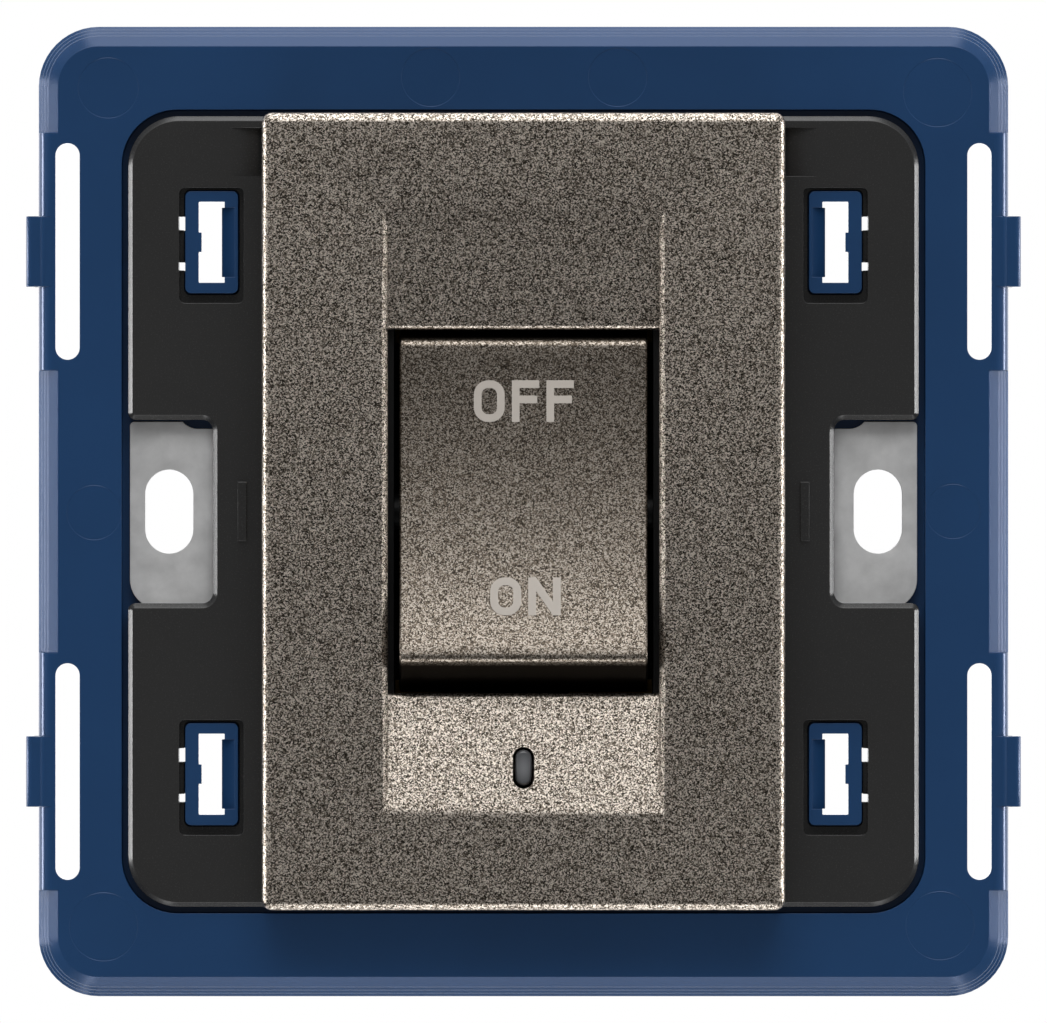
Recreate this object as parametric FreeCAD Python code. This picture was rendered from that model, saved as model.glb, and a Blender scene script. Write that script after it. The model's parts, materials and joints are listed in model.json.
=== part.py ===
import FreeCAD, Part
import math
import os

# Double-pole rocker switch for a flush wall box, built as the real product comes apart on a bench:
# a moulded plate carrier, a black support plate over a steel fixing yoke, a painted front bezel with
# its rocker, and behind the wall the mechanism with two see-saw contacts and four pillar terminals.
# Millimetres. X to the right, Z up, -Y towards the room. The wall plane is Y = 0, at the back of the
# plate carrier, and the origin lies on the axis of the switch.

# Clearances
run_fit = 0.08          # radial gap of a plunger or screw in its bore
trunnion_fit = 0.05     # radial gap of the rocker trunnions
pass_fit = 0.3          # gap of a body in the opening it passes through
peg_fit = 0.1           # gap round a peg or a socket in its hole
reach = 60.0            # how far a long cut runs past the part
past = 1.0              # how far a short cut runs past the face that it opens
tiny = 1e-4

# Plate carrier: the blue moulded ring that the cover plate clips on
ring_size = 82.5
ring_corner = 5.1
ring_height = 3.6
ring_edge = 1.8         # upright outer wall below the bevel
tread = 0.27            # the fine sloping steps of the bevel
tread_fall = 0.23       # how far each of them slopes down
riser = 0.12            # upright face between two of them
step_count = 3
slope_width = 0.89      # flat slope above the steps
ring_opening = 68.3
ring_opening_corner = 4.7
web_thick = 1.0         # floor of the carrier behind the support plate
slot_width = 2.05       # slots that free the latch beams
slot_length = 18.4
beam_thick = 1.475      # springy wall left outside each slot
latch_z = 22.1
beam_length = 20.2
beam_round = 0.55
tab_reach = 1.05        # latch tab beyond the ring's edge
tab_height = 6.0
tab_drop = 0.15
tab_thick = 2.3
rib_gap = 13.6          # hollows in the back of the ring, between ribs
rib_pitch = 14.8
rib_count = 4
hollow_width = 3.2
hollow_depth = 1.9
hollow_wall = 1.5       # between the opening and the hollows
passage_corner = 1.0    # corners of the way through for the mechanism

# Sockets of the plate carrier that take the cover plate's prongs
socket_gap = 1.055      # from the yoke's side strips
socket_z = 22.6
socket_rise = 0.28      # the sockets sit a little above the middle of their windows
socket_width = 4.49
socket_height = 8.69
socket_corner = 0.5
socket_hole_width = 2.2
socket_hole_height = 6.88
socket_below = 0.3      # socket mouth below the face of the support plate
socket_bump = 0.25
socket_bump_height = 1.65
tongue_height = 5.9
tongue_reach = 0.25
tongue_fall = 1.1
tongue_wall = 0.25      # socket wall left behind the tongue

# Support plate
plate_size = 67.2
plate_corner = 4.3
plate_skin = 2.2
plate_bevel = 0.4
skirt = 1.2
window_width = 5.46
window_height = 9.8
window_corner = 0.5
ledge_thick = 0.9
notch_width = 0.55
notch_spans = ((1.31, 2.48), (-2.11, -1.41))
bay_depth = 7.2         # bay over each steel lug, in from the plate's edge
bay_height = 15.6
bay_corner = 0.9
bay_mouth = 0.6         # round corners where the bay meets the plate's edge
marker_gap = 1.75       # from the bezel to the middle of the raised mark over each side catch
marker_width = 0.75
marker_height = 5.0
marker_rise = 0.3
pry_run = 2.75          # ramps for a screwdriver, out from the bezel
pry_low = 28.5
pry_high = 32.6
pry_depth = 1.3
peg_x = 16.0
peg_z = 30.3
peg_r = 1.1
peg_head_r = 1.8        # flattened peg heads, sunk in the carrier's back
peg_head = 0.4
peg_sink = 0.05

# Steel yoke
yoke_thick = 1.0
yoke_strip = 2.9        # side strips of the frame
yoke_band = 4.4         # top and bottom bands of the frame
yoke_corner = 2.0
lug_reach = 33.5
lug_top = 7.65
lug_bottom = 8.3
lug_corner = 0.4
lug_foot_round = 2.5    # outer bottom corner of each lug
lug_notch_x = 27.8      # where the notch in each lug's top reaches its depth
lug_notch_run = 1.2
lug_notch_end = 25.4
lug_notch_depth = 0.6
lug_notch_fall = 0.45   # depth of the notch's curve half way along
fixing_centres = 60.3
fixing_width = 4.1
fixing_length = 7.1
fixing_clear = 0.6      # extra room in the carrier's floor round each fixing slot

# Front bezel
bezel_height = 67.5
bezel_rise = 6.3
bezel_corner = 0.65
bezel_edge_round = 0.6
bezel_wall = 1.85
bezel_skin = 1.7
recess_width = 23.0
recess_height = 51.6
recess_depth = 2.6
recess_skin = 1.4
recess_edge_round = 0.4
recess_corner = 1.0
inner_corner = 0.8      # corners inside the hollow mouldings
opening_height = 30.8
opening_edge_round = 0.3
clip_z = 12.0           # snap ledges between bezel and mechanism
clip_length = 6.0
clip_reach = 0.7
clip_thick = 0.8
clip_setback = 0.2      # ledges ahead of the bezel's rear edge

# Rocker
rocker_width = 21.0
lip_half = 13.8         # from the pivot to each lip, along the rocker
lip_forward = 7.5       # from the pivot to the line of the lips
dish_r = 80.0           # hollow front of the rocker
lip_band = 0.7          # narrow chamfer along each lip
lip_band_drop = 0.22
swing = 15.0            # whole travel of the rocker, degrees
cap_wall = 1.4
cap_back = 0.6          # rear edge of the cap's walls, ahead of the pivot
cap_edge_round = 0.3
cradle_plate = 1.8
cradle_half = 11.8
cradle_front = 3.2
post_x = 6.4
post_z = 8.6
post_size = 2.4
trunnion_r = 1.5
trunnion_reach = 1.8

# Plungers and their springs
pole_x = 6.4
boss_r = 2.5
boss_reach = 7.0
boss_floor = 2.0
boss_bore = 1.8
plunger_centre = 9.0    # from the pivot to the middle of the plunger's round tip
plunger_travel = 0.8
spring_wire = 0.34
spring_turns = 3
spring_spare = 0.84     # room left between the turns when the plunger is fully in

# See-saw contacts
seesaw_ratio = 1.2      # degrees of contact swing for each degree of rocker
seesaw_width = 5.0
seesaw_thick = 1.0
seesaw_ahead = 0.75     # front of the strip, ahead of its pivot line
seesaw_low = 8.5
seesaw_high = 11.5
seesaw_gap = 0.05
roll_r = 1.2
tip_z = 9.5
tip_r = 1.6
tip_thick = 0.8
pad_low = 6.5
pad_beyond = 1.0        # pad past the end of the moving contact
pad_thick = 1.0
strip_lap = 0.1         # depth that bent strips share at their corners
bracket_lip = 1.0       # bracket past the groove on each side

# Mechanism body and rear case
body_width = 40.0
body_height = 55.0
body_corner = 1.5
body_back = 6.5
well_side = 0.5         # room beside the rocker
well_end = 0.6          # room past the rocker's ends
cheek = 2.2
body_wall = 1.6
catch_reach = 0.7
catch_length = 8.0
catch_depth = 3.0
case_back = 26.0
case_wall = 1.5
case_floor = 1.8
barrier = 1.2
case_edge = 1.0
hook_z = 16.0
hook_width = 4.0
hook_reach = 5.0
hook_thick = 0.9
hook_nose = 0.8
hook_grip = 1.2
hook_root = 2.0         # depth of the hook's root on the case
hook_taper = 1.0

# Pillar terminals
pillar_x = 10.0
pillar_width = 8.4
pillar_low = 14.5
pillar_height = 8.0
pillar_depth = 10.5
pillar_edge = 0.5
wire_r = 2.0
wire_floor = 1.3        # brass under the wire bore
wire_depth = 9.0
entry_r = 2.6
screw_r = 1.67
screw_from_back = 5.5
screw_tip_gap = 0.3
screw_travel = 2.6
screw_head_r = 2.5
screw_head = 1.8
screw_slot = 0.8
chimney_r = 2.8
pocket_rib = 1.2
rib_recess = 2.0        # ribs behind the front of the pillars
stop_recess = 3.0       # cross ribs behind the front of the pillars

# Indicator
lens_z = -21.7
lens_width = 1.4
lens_height = 3.1
lens_gap = 0.2          # dark gap between the lens and the painted slope
lens_sunk = 0.12
lens_flange = 0.8
lens_flange_wide = 1.0
lens_bevel = 0.25
lamp_r = 1.9
lamp_half = 4.2
lamp_bevel = 0.6
lamp_y = -2.6
lead_r = 0.3
lead_x = 6.6
lead_bend = 1.0
resistor_r = 0.9
resistor_span = (0.5, 4.5)
pocket_half_x = 8.0
pocket_half_z = 3.2
pocket_floor = 1.6
lamp_rest = 1.0

# Levels and places that follow from the sizes above
web_front = -web_thick
yoke_front = web_front - yoke_thick
plate_front = yoke_front - plate_skin
bezel_front = plate_front - bezel_rise
bezel_width = body_width + 2 * (bezel_wall + pass_fit)
marker_x = bezel_width / 2 + marker_gap
pry_x = bezel_width / 2 + pry_run
recess_floor = bezel_front + recess_depth
body_front = recess_floor + recess_skin
half_swing = swing / 2
half_swing_rad = math.radians(half_swing)
pressed_lip = lip_forward * math.cos(half_swing_rad) - lip_half * math.sin(half_swing_rad)
pivot_y = recess_floor + pressed_lip
end_r = math.hypot(lip_half, lip_forward)
plunger_r = boss_bore - run_fit
spring_room = (spring_turns + 1) * spring_wire + plunger_travel + spring_spare
seesaw_y = pivot_y + plunger_centre + plunger_r + seesaw_gap + seesaw_ahead
seesaw_half_swing = half_swing * seesaw_ratio
yoke_half_x = body_width / 2 + pass_fit
yoke_half_z = body_height / 2 + pass_fit
socket_x = yoke_half_x + yoke_strip + socket_gap + socket_width / 2
slot_x = ring_size / 2 - beam_thick - slot_width / 2
well_half_x = rocker_width / 2 + well_side
well_half_z = end_r + well_end
case_inside = case_back - case_floor
pillar_front = case_inside - pillar_depth
screw_y = case_inside - screw_from_back
wire_z = pillar_low + wire_floor + wire_r
pillar_high = pillar_low + pillar_height
head_low = pillar_high + screw_travel + screw_tip_gap
ledge_front = plate_front - clip_thick - clip_setback

SIDES = (-1, 1)
WIRE_SIDES = 8          # fine round wires are drawn with flat sides
POLES = ((-1, "line"), (1, "neutral"))
X_AXIS = FreeCAD.Vector(1, 0, 0)
Y_AXIS = FreeCAD.Vector(0, 1, 0)
vec = FreeCAD.Vector


# Basic shapes

def block(x0, x1, y0, y1, z0, z1):
    """A box between two corners given in any order."""
    low = vec(min(x0, x1), min(y0, y1), min(z0, z1))
    return Part.makeBox(abs(x1 - x0), abs(y1 - y0), abs(z1 - z0), low)


def rod(radius, start, end):
    """A round bar from one point to another."""
    way = vec(*end) - vec(*start)
    return Part.makeCylinder(radius, way.Length, vec(*start), way)


def outline(points, place):
    """A closed wire through (u, v) points; a point given as ("arc", middle, end) bends to its end."""
    edges = []
    here = place(*points[0])
    for step in points[1:]:
        if step[0] == "arc":
            there = place(*step[2])
            edges.append(Part.Arc(here, place(*step[1]), there).toShape())
        else:
            there = place(*step)
            edges.append(Part.makeLine(here, there))
        here = there
    start = place(*points[0])
    if here.distanceToPoint(start) > tiny:
        edges.append(Part.makeLine(here, start))
    return Part.Wire(edges)


def rounded_points(width, height, radius, cx=0.0, cz=0.0):
    """The outline of a rectangle with round corners, as points and arcs."""
    a, b = width / 2, height / 2
    k = radius * (1 - math.sqrt(0.5))
    corners = []
    for sx, sz in ((1, 1), (-1, 1), (-1, -1), (1, -1)):
        on_side = (cx + sx * a, cz + sz * (b - radius))
        on_end = (cx + sx * (a - radius), cz + sz * b)
        middle = (cx + sx * (a - k), cz + sz * (b - k))
        corners.append((on_side, middle, on_end) if sx * sz > 0 else (on_end, middle, on_side))
    points = [corners[0][0], ("arc", corners[0][1], corners[0][2])]
    for turn_in, middle, turn_out in corners[1:]:
        points.append(turn_in)
        points.append(("arc", middle, turn_out))
    return points


def slab(width, height, radius, y0, y1, cx=0.0, cz=0.0):
    """A rectangle with round corners, standing in XZ and as thick as from y0 to y1."""
    wire = outline(rounded_points(width, height, radius, cx, cz), lambda x, z: vec(x, y0, z))
    return Part.Face(wire).extrude(vec(0, y1 - y0, 0))


def slot(width, length, y0, y1, cx, cz):
    """An upright slot with round ends."""
    half = length / 2 - width / 2
    body = block(cx - width / 2, cx + width / 2, y0, y1, cz - half, cz + half)
    for sz in SIDES:
        body = body.fuse(rod(width / 2, (cx, y0, cz + sz * half), (cx, y1, cz + sz * half)))
    return body.removeSplitter()


def side_profile(points, x0, x1):
    """An outline in the YZ plane, given as (z, y), extruded along X."""
    wire = outline(points, lambda z, y: vec(x0, y, z))
    return Part.Face(wire).extrude(vec(x1 - x0, 0, 0))


def plan_profile(points, z0, z1):
    """An outline in the XY plane, extruded along Z."""
    wire = outline(points, lambda x, y: vec(x, y, z0))
    return Part.Face(wire).extrude(vec(0, 0, z1 - z0))


def joined(shapes):
    """The union of several shapes, with the seams between their faces removed."""
    whole = shapes[0].fuse(shapes[1:]) if len(shapes) > 1 else shapes[0]
    return whole.removeSplitter()


def edges_on_level(shape, y):
    """Edges that lie in the plane at y."""
    found = []
    for edge in shape.Edges:
        box = edge.BoundBox
        if abs(box.YMin - y) < tiny and abs(box.YMax - y) < tiny:
            found.append(edge)
    return found


def tilted(shape, degrees, y):
    """The shape turned about the X direction through the point at height 0 and depth y."""
    turned = shape.copy()
    turned.rotate(vec(0, y, 0), X_AXIS, degrees)
    return turned


def save(name, shape):
    """Write one piece, as a single solid or a group of solids, to its file."""
    solids = shape.Solids
    piece = solids[0] if len(solids) == 1 else Part.makeCompound(solids)
    if not piece.isValid():
        print("not valid:", name)
    piece.exportStep("parts/" + name + ".step")
    print(name, len(solids), round(shape.Volume, 3))


# Plate carrier

def slope_ring(inset, low, high, run):
    """A round-cornered slab, inset from the ring's edge, whose sides slope in by run from low to high."""
    size = ring_size - 2 * inset
    wide = rounded_points(size, size, ring_corner - inset)
    narrow = rounded_points(size - 2 * run, size - 2 * run, ring_corner - inset - run)
    return Part.makeLoft([outline(wide, lambda x, z: vec(x, low, z)),
                          outline(narrow, lambda x, z: vec(x, high, z))], True, True)


def ring_block():
    """The ring's outer form: an upright edge, fine sloping steps and a slope up to the face."""
    parts = [slab(ring_size, ring_size, ring_corner, 0, -ring_edge)]
    level = -ring_edge
    for i in range(step_count):
        parts.append(slope_ring(i * tread, level, level - tread_fall, tread))
        level -= tread_fall
        size = ring_size - 2 * (i + 1) * tread
        parts.append(slab(size, size, ring_corner - (i + 1) * tread, level, level - riser))
        level -= riser
    parts.append(slope_ring(step_count * tread, level, -ring_height, slope_width))
    return joined(parts)


def latch_beam(sx, sz):
    """The springy outer wall beside a slot, at full height, with its latch tab."""
    outer = ring_size / 2
    inner = slot_x - slot_width

    def section(edge, top, low):
        k = beam_round * (1 - math.sqrt(0.5))
        points = [(inner, low), (edge, low), (edge, top + beam_round)]
        points.append(("arc", (edge - k, top + k), (edge - beam_round, top)))
        points.append((inner, top))
        return [mirror_x(p, sx) for p in points]

    beam = plan_profile(section(outer, -ring_height, 0.0), sz * latch_z - beam_length / 2,
                        sz * latch_z + beam_length / 2)
    top = -ring_height + tab_drop
    tab = plan_profile(section(outer + tab_reach, top, top + tab_thick), sz * latch_z - tab_height / 2,
                       sz * latch_z + tab_height / 2)
    return beam.fuse(tab)


def mirror_x(point, sx):
    """A point of an outline, or an arc step, on the side given by sx."""
    if point[0] == "arc":
        return ("arc", (sx * point[1][0], point[1][1]), (sx * point[2][0], point[2][1]))
    return (sx * point[0], point[1])


def socket_mouth_y():
    """Front of the sockets, a little below the face of the support plate."""
    return plate_front + socket_below


def socket(sx, sz):
    """A loop on the carrier's floor with a bump on one side and a sprung tongue on the other."""
    cx, cz = sx * socket_x, sz * socket_z + socket_rise
    front = socket_mouth_y()
    loop = slab(socket_width, socket_height, socket_corner, 0, front, cx, cz)
    hole_x = socket_hole_width / 2
    hole_z = socket_hole_height / 2
    hole = block(cx - hole_x, cx + hole_x, front - past, past, cz - hole_z, cz + hole_z)
    out_edge = cx + sx * hole_x
    bump = block(out_edge, out_edge - sx * socket_bump, 0, front, cz - socket_bump_height / 2,
                 cz + socket_bump_height / 2)
    wall_in = cx - sx * (socket_width / 2 - tongue_wall)
    lip = cx - sx * (hole_x - tongue_reach)
    ramp = [(wall_in, front), (lip, front + tongue_fall), (lip, 0.0), (wall_in, 0.0)]
    tongue = plan_profile(ramp, cz - tongue_height / 2, cz + tongue_height / 2)
    bay = block(wall_in, lip, front - past, 0, cz - tongue_height / 2, cz + tongue_height / 2)
    return loop.cut(hole).cut(bay).fuse([bump, tongue])


def sight_gaps(sx, sz, y0, y1):
    """The two small gaps that show between a socket and the outer side of its window."""
    edge = sx * (socket_x + socket_width / 2)
    gaps = []
    for low, high in notch_spans:
        gaps.append(block(edge, edge + sx * notch_width, y0, y1, sz * socket_z + low, sz * socket_z + high))
    return gaps


def back_hollows():
    """Hollows between ribs in the back of the top and bottom bars of the ring."""
    centre = ring_opening / 2 + hollow_wall + hollow_width / 2
    tools = []
    for sz in SIDES:
        for i in range(rib_count):
            cx = (i - (rib_count - 1) / 2) * rib_pitch
            cz = sz * centre
            tools.append(block(cx - rib_gap / 2, cx + rib_gap / 2, past, -hollow_depth,
                               cz - hollow_width / 2, cz + hollow_width / 2))
    return tools


def peg_hole(sx, sz):
    """The hole for one staked peg of the support plate."""
    x, z = sx * peg_x, sz * peg_z
    return rod(peg_r + peg_fit, (x, -reach, z), (x, reach, z))


def plate_carrier():
    """The ring, its floor behind the support plate, the latch beams and the four sockets."""
    beams = [latch_beam(sx, sz) for sx in SIDES for sz in SIDES]
    body = joined([ring_block()] + beams)
    opening = slab(ring_opening, ring_opening, ring_opening_corner, web_front, -reach)
    passage_x = 2 * (yoke_half_x + catch_reach + pass_fit)
    passage = slab(passage_x, 2 * yoke_half_z + 2 * peg_fit, passage_corner, -reach, reach)
    tools = [opening, passage] + back_hollows()
    hole_x, hole_z = socket_hole_width / 2, socket_hole_height / 2
    for sx in SIDES:
        tools.append(slot(fixing_width + 2 * fixing_clear, fixing_length + 2 * fixing_clear, -reach, reach,
                          sx * fixing_centres / 2, 0))
        for sz in SIDES:
            tools.append(slot(slot_width, slot_length, -reach, reach, sx * slot_x, sz * latch_z))
            tools.append(peg_hole(sx, sz))
            tools.append(rod(peg_head_r + 2 * peg_fit, (sx * peg_x, -peg_head - 2 * peg_sink, sz * peg_z),
                             (sx * peg_x, reach, sz * peg_z)))
            x, z = sx * socket_x, sz * socket_z + socket_rise
            tools.append(block(x - hole_x, x + hole_x, -reach, reach, z - hole_z, z + hole_z))
    body = body.cut(tools)
    sockets = [socket(sx, sz) for sx in SIDES for sz in SIDES]
    gaps = [gap for sx in SIDES for sz in SIDES for gap in sight_gaps(sx, sz, -reach, reach)]
    return joined([body] + sockets).cut(gaps)


# Support plate and yoke

def bay_tool(sx):
    """The bay over a steel lug, open to the plate's edge through round corners."""
    edge, half = plate_size / 2, bay_height / 2
    inner = edge - bay_depth
    lean = math.sqrt(0.5)
    mouth_x, mouth_z = edge - bay_mouth, half + bay_mouth
    hollow_x, hollow_z = inner + bay_corner, half - bay_corner
    into_mouth = (mouth_x + bay_mouth * lean, mouth_z - bay_mouth * lean)
    into_corner = (hollow_x - bay_corner * lean, hollow_z + bay_corner * lean)
    points = [(edge + past, -mouth_z), (edge, -mouth_z)]
    points.append(("arc", (into_mouth[0], -into_mouth[1]), (mouth_x, -half)))
    points.append((hollow_x, -half))
    points.append(("arc", (into_corner[0], -into_corner[1]), (inner, -hollow_z)))
    points.append((inner, hollow_z))
    points.append(("arc", into_corner, (hollow_x, half)))
    points.append((mouth_x, half))
    points.append(("arc", into_mouth, (edge, mouth_z)))
    points.append((edge + past, mouth_z))
    wire = outline([mirror_x(p, sx) for p in points], lambda x, z: vec(x, -reach, z))
    return Part.Face(wire).extrude(vec(0, 2 * reach, 0))


def pry_ramp(sx):
    """A ramp that deepens towards the bezel, where a screwdriver can lift it."""
    inner = bezel_width / 2 - past
    points = [(pry_x, plate_front), (inner, plate_front + pry_depth)]
    points += [(inner, plate_front - past), (pry_x, plate_front - past)]
    return plan_profile([(sx * x, y) for x, y in points], pry_low, pry_high)


def support_plate():
    """The black plate with its skirt, windows over the sockets, bays over the lugs and staked pegs."""
    bays = [bay_tool(sx) for sx in SIDES]
    skin = slab(plate_size, plate_size, plate_corner, yoke_front, plate_front).cut(bays)
    skin = skin.makeChamfer(plate_bevel, edges_on_level(skin, plate_front))
    rim = slab(plate_size, plate_size, plate_corner, web_front, yoke_front)
    inside = plate_size - 2 * skirt
    rim = rim.cut([slab(inside, inside, plate_corner - skirt, 0, yoke_front)] + bays)
    body = joined([skin, rim])
    tools = [slab(2 * yoke_half_x, 2 * yoke_half_z, body_corner + pass_fit, -reach, reach)]
    for sx in SIDES:
        tools.append(pry_ramp(sx))
        tools.append(block(sx * (plate_size / 2 - skirt - past), sx * plate_size, yoke_front, past,
                           -lug_bottom - pass_fit, lug_top + pass_fit))
        for sz in SIDES:
            cx, cz = sx * socket_x, sz * socket_z
            tools.append(slab(window_width, window_height, window_corner, plate_front - past,
                              yoke_front - ledge_thick, cx, cz))
            tools.append(slab(socket_width + 2 * peg_fit, socket_height + 2 * peg_fit, socket_corner,
                              -reach, reach, cx, cz + socket_rise))
            tools += sight_gaps(sx, sz, -reach, reach)
    body = body.cut(tools)
    extras = []
    for sx in SIDES:
        extras.append(block(sx * marker_x - marker_width / 2, sx * marker_x + marker_width / 2,
                            plate_front, plate_front - marker_rise, -marker_height / 2, marker_height / 2))
        for sz in SIDES:
            x, z = sx * peg_x, sz * peg_z
            low = -peg_sink - peg_head
            extras.append(rod(peg_r, (x, yoke_front, z), (x, low, z)))
            extras.append(rod(peg_head_r, (x, low, z), (x, -peg_sink, z)))
    return joined([body] + extras)


def lug(sx):
    """One lug of the yoke, with a notch in its top edge and a large round at its outer foot."""
    lean = 1 - math.sqrt(0.5)
    points = [(0, -lug_bottom), (lug_reach - lug_foot_round, -lug_bottom)]
    points.append(("arc", (lug_reach - lug_foot_round * lean, -lug_bottom + lug_foot_round * lean),
                   (lug_reach, -lug_bottom + lug_foot_round)))
    points.append((lug_reach, lug_top - lug_corner))
    points.append(("arc", (lug_reach - lug_corner * lean, lug_top - lug_corner * lean),
                   (lug_reach - lug_corner, lug_top)))
    points.append((lug_notch_x + lug_notch_run, lug_top))
    points.append(("arc", (lug_notch_x + lug_notch_run / 2, lug_top - lug_notch_fall),
                   (lug_notch_x, lug_top - lug_notch_depth)))
    points += [(lug_notch_end, lug_top - lug_notch_depth), (lug_notch_end, lug_top), (0, lug_top)]
    wire = outline([mirror_x(p, sx) for p in points], lambda x, z: vec(x, web_front, z))
    return Part.Face(wire).extrude(vec(0, -yoke_thick, 0))


def fixing_yoke():
    """The stamped steel frame with a slotted lug on each side for the box screws."""
    frame = slab(2 * (yoke_half_x + yoke_strip), 2 * (yoke_half_z + yoke_band), yoke_corner,
                 web_front, yoke_front)
    body = joined([frame] + [lug(sx) for sx in SIDES])
    tools = [slab(2 * yoke_half_x, 2 * yoke_half_z, body_corner + pass_fit, -reach, reach)]
    for sx in SIDES:
        tools.append(slot(fixing_width, fixing_length, -reach, reach, sx * fixing_centres / 2, 0))
        tools += [peg_hole(sx, sz) for sz in SIDES]
    return body.cut(tools)


# Front bezel and rocker

def recess_tool():
    """The sunk field in the bezel: sloping at both ends, with the rocker's opening through its floor."""
    half, mouth = recess_height / 2, opening_height / 2
    r = opening_edge_round
    k = r * (1 - math.sqrt(0.5))
    top = bezel_front
    points = [(half, top), (mouth + r, recess_floor)]
    points += [("arc", (mouth + k, recess_floor + k), (mouth, recess_floor + r)), (mouth, reach)]
    points += [(-mouth, reach), (-mouth, recess_floor + r)]
    points += [("arc", (-mouth - k, recess_floor + k), (-mouth - r, recess_floor)), (-half, top)]
    points += [(-half - past, top - past), (half + past, top - past)]
    along = side_profile(points, -reach, reach)
    w, e = recess_width / 2, recess_edge_round
    d = e * (1 - math.sqrt(0.5))
    section = [(-w, reach), (-w, top + e), ("arc", (-w - d, top + d), (-w - e, top)), (-w - e, top - past)]
    section += [(w + e, top - past), (w + e, top), ("arc", (w + d, top + d), (w, top + e)), (w, reach)]
    across = plan_profile(section, -reach, reach)
    plan = slab(recess_width + 2 * e, recess_height, recess_corner, top - past, reach)
    return along.common(across).common(plan)


def front_bezel():
    """The painted front: a hollow moulding round the sunk field, with snap ledges inside."""
    body = slab(bezel_width, bezel_height, bezel_corner, plate_front, bezel_front)
    body = body.makeFillet(bezel_edge_round, edges_on_level(body, bezel_front))
    inner_x = bezel_width - 2 * bezel_wall
    inner_z = bezel_height - 2 * bezel_wall
    hollow = slab(inner_x, inner_z, inner_corner, plate_front + past, bezel_front + bezel_skin)
    core = slab(recess_width + 2 * bezel_skin, recess_height + 2 * bezel_skin, inner_corner,
                body_front, bezel_front)
    body = body.cut(hollow.cut(core)).cut(recess_tool()).cut(lens_hole())
    ledges = []
    for sx in SIDES:
        for sz in SIDES:
            outer = sx * inner_x / 2
            inner = sx * (body_width / 2 - clip_reach + peg_fit)
            ledges.append(block(outer, inner, ledge_front, ledge_front + clip_thick,
                                sz * clip_z - clip_length / 2, sz * clip_z + clip_length / 2))
    return joined([body] + ledges)


def cap_outline(inset, back):
    """Side outline of the rocker cap as (z, y) about the pivot at zero: inset, and cut off at the back."""
    forward = lip_forward - inset
    radius = end_r - inset
    band_z, band_y = lip_half - lip_band, -forward
    lip_z = math.sqrt(radius ** 2 - (forward - lip_band_drop) ** 2)
    sag = dish_sag(band_z)
    low_z = math.sqrt(radius ** 2 - back ** 2)
    mean = (math.atan2(lip_z, forward - lip_band_drop) + math.atan2(low_z, back)) / 2
    mid = (radius * math.sin(mean), -radius * math.cos(mean))
    points = [(-band_z, band_y), ("arc", (0, band_y + sag), (band_z, band_y))]
    points.append((lip_z, band_y + lip_band_drop))
    points.append(("arc", mid, (low_z, -back)))
    points.append((-low_z, -back))
    points.append(("arc", (-mid[0], mid[1]), (-lip_z, band_y + lip_band_drop)))
    return points


def dish_sag(z):
    """Depth of the hollow front below its edges' line, for edges this far from the middle."""
    return dish_r - math.sqrt(dish_r ** 2 - z ** 2)


def at_pivot(points):
    """Outline points moved from the pivot at zero to the pivot's place."""
    placed = []
    for step in points:
        if step[0] == "arc":
            placed.append(("arc", (step[1][0], step[1][1] + pivot_y), (step[2][0], step[2][1] + pivot_y)))
        else:
            placed.append((step[0], step[1] + pivot_y))
    return placed


def rocker_cap():
    """The painted key: a hollow shell with a dished front and ends that follow the pivot."""
    half = rocker_width / 2
    outer = side_profile(at_pivot(cap_outline(0, cap_back)), -half, half)
    long_edges = []
    for edge in outer.Edges:
        box = edge.BoundBox
        if box.XLength < tiny and box.ZLength > lip_half and box.YMax < pivot_y - lip_forward / 2:
            long_edges.append(edge)
    outer = outer.makeFillet(cap_edge_round, long_edges)
    inner = side_profile(at_pivot(cap_outline(cap_wall, -past)), -half + cap_wall, half - cap_wall)
    body = outer.cut(inner)
    notch_r = trunnion_r + peg_fit
    notch = rod(notch_r, (-reach, pivot_y, 0), (reach, pivot_y, 0))
    return tilted(body.cut(notch), -half_swing, pivot_y)


def rocker_cradle():
    """The lever inside the cap: trunnions, posts that carry the cap and the two plunger barrels."""
    half_x = rocker_width / 2 - cap_wall - peg_fit
    front = pivot_y - cradle_front
    plate = block(-half_x, half_x, front, front + cradle_plate, -cradle_half, cradle_half)
    reach_x = well_half_x + trunnion_reach
    shaft = rod(trunnion_r, (-reach_x, pivot_y, 0), (reach_x, pivot_y, 0))
    web = block(-half_x, half_x, front + cradle_plate, pivot_y, -trunnion_r, trunnion_r)
    parts = [plate, shaft, web]
    inner_front = pivot_y - (lip_forward - cap_wall)
    post_half = post_size / 2
    hollow = dish_sag(lip_half - lip_band) - dish_sag(post_z - post_half)
    post_front = inner_front + hollow + peg_fit
    bores = []
    for sx in SIDES:
        x = sx * post_x
        for sz in SIDES:
            z = sz * post_z
            parts.append(block(x - post_half, x + post_half, front, post_front,
                               z - post_half, z + post_half))
        x = sx * pole_x
        parts.append(rod(boss_r, (x, front + cradle_plate, 0), (x, pivot_y + boss_reach, 0)))
        bores.append(rod(boss_bore, (x, pivot_y + boss_floor, 0), (x, pivot_y + reach, 0)))
    return tilted(joined(parts).cut(bores), -half_swing, pivot_y)


def plunger(sx):
    """A round-nosed pin that slides in its barrel and presses on the see-saw contact."""
    tail = pivot_y + boss_floor + spring_room
    shank = rod(plunger_r, (sx * pole_x, tail, 0), (sx * pole_x, pivot_y + plunger_centre, 0))
    nose = Part.makeSphere(plunger_r, vec(sx * pole_x, pivot_y + plunger_centre, 0))
    return tilted(shank.fuse(nose).removeSplitter(), -half_swing, pivot_y)


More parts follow.
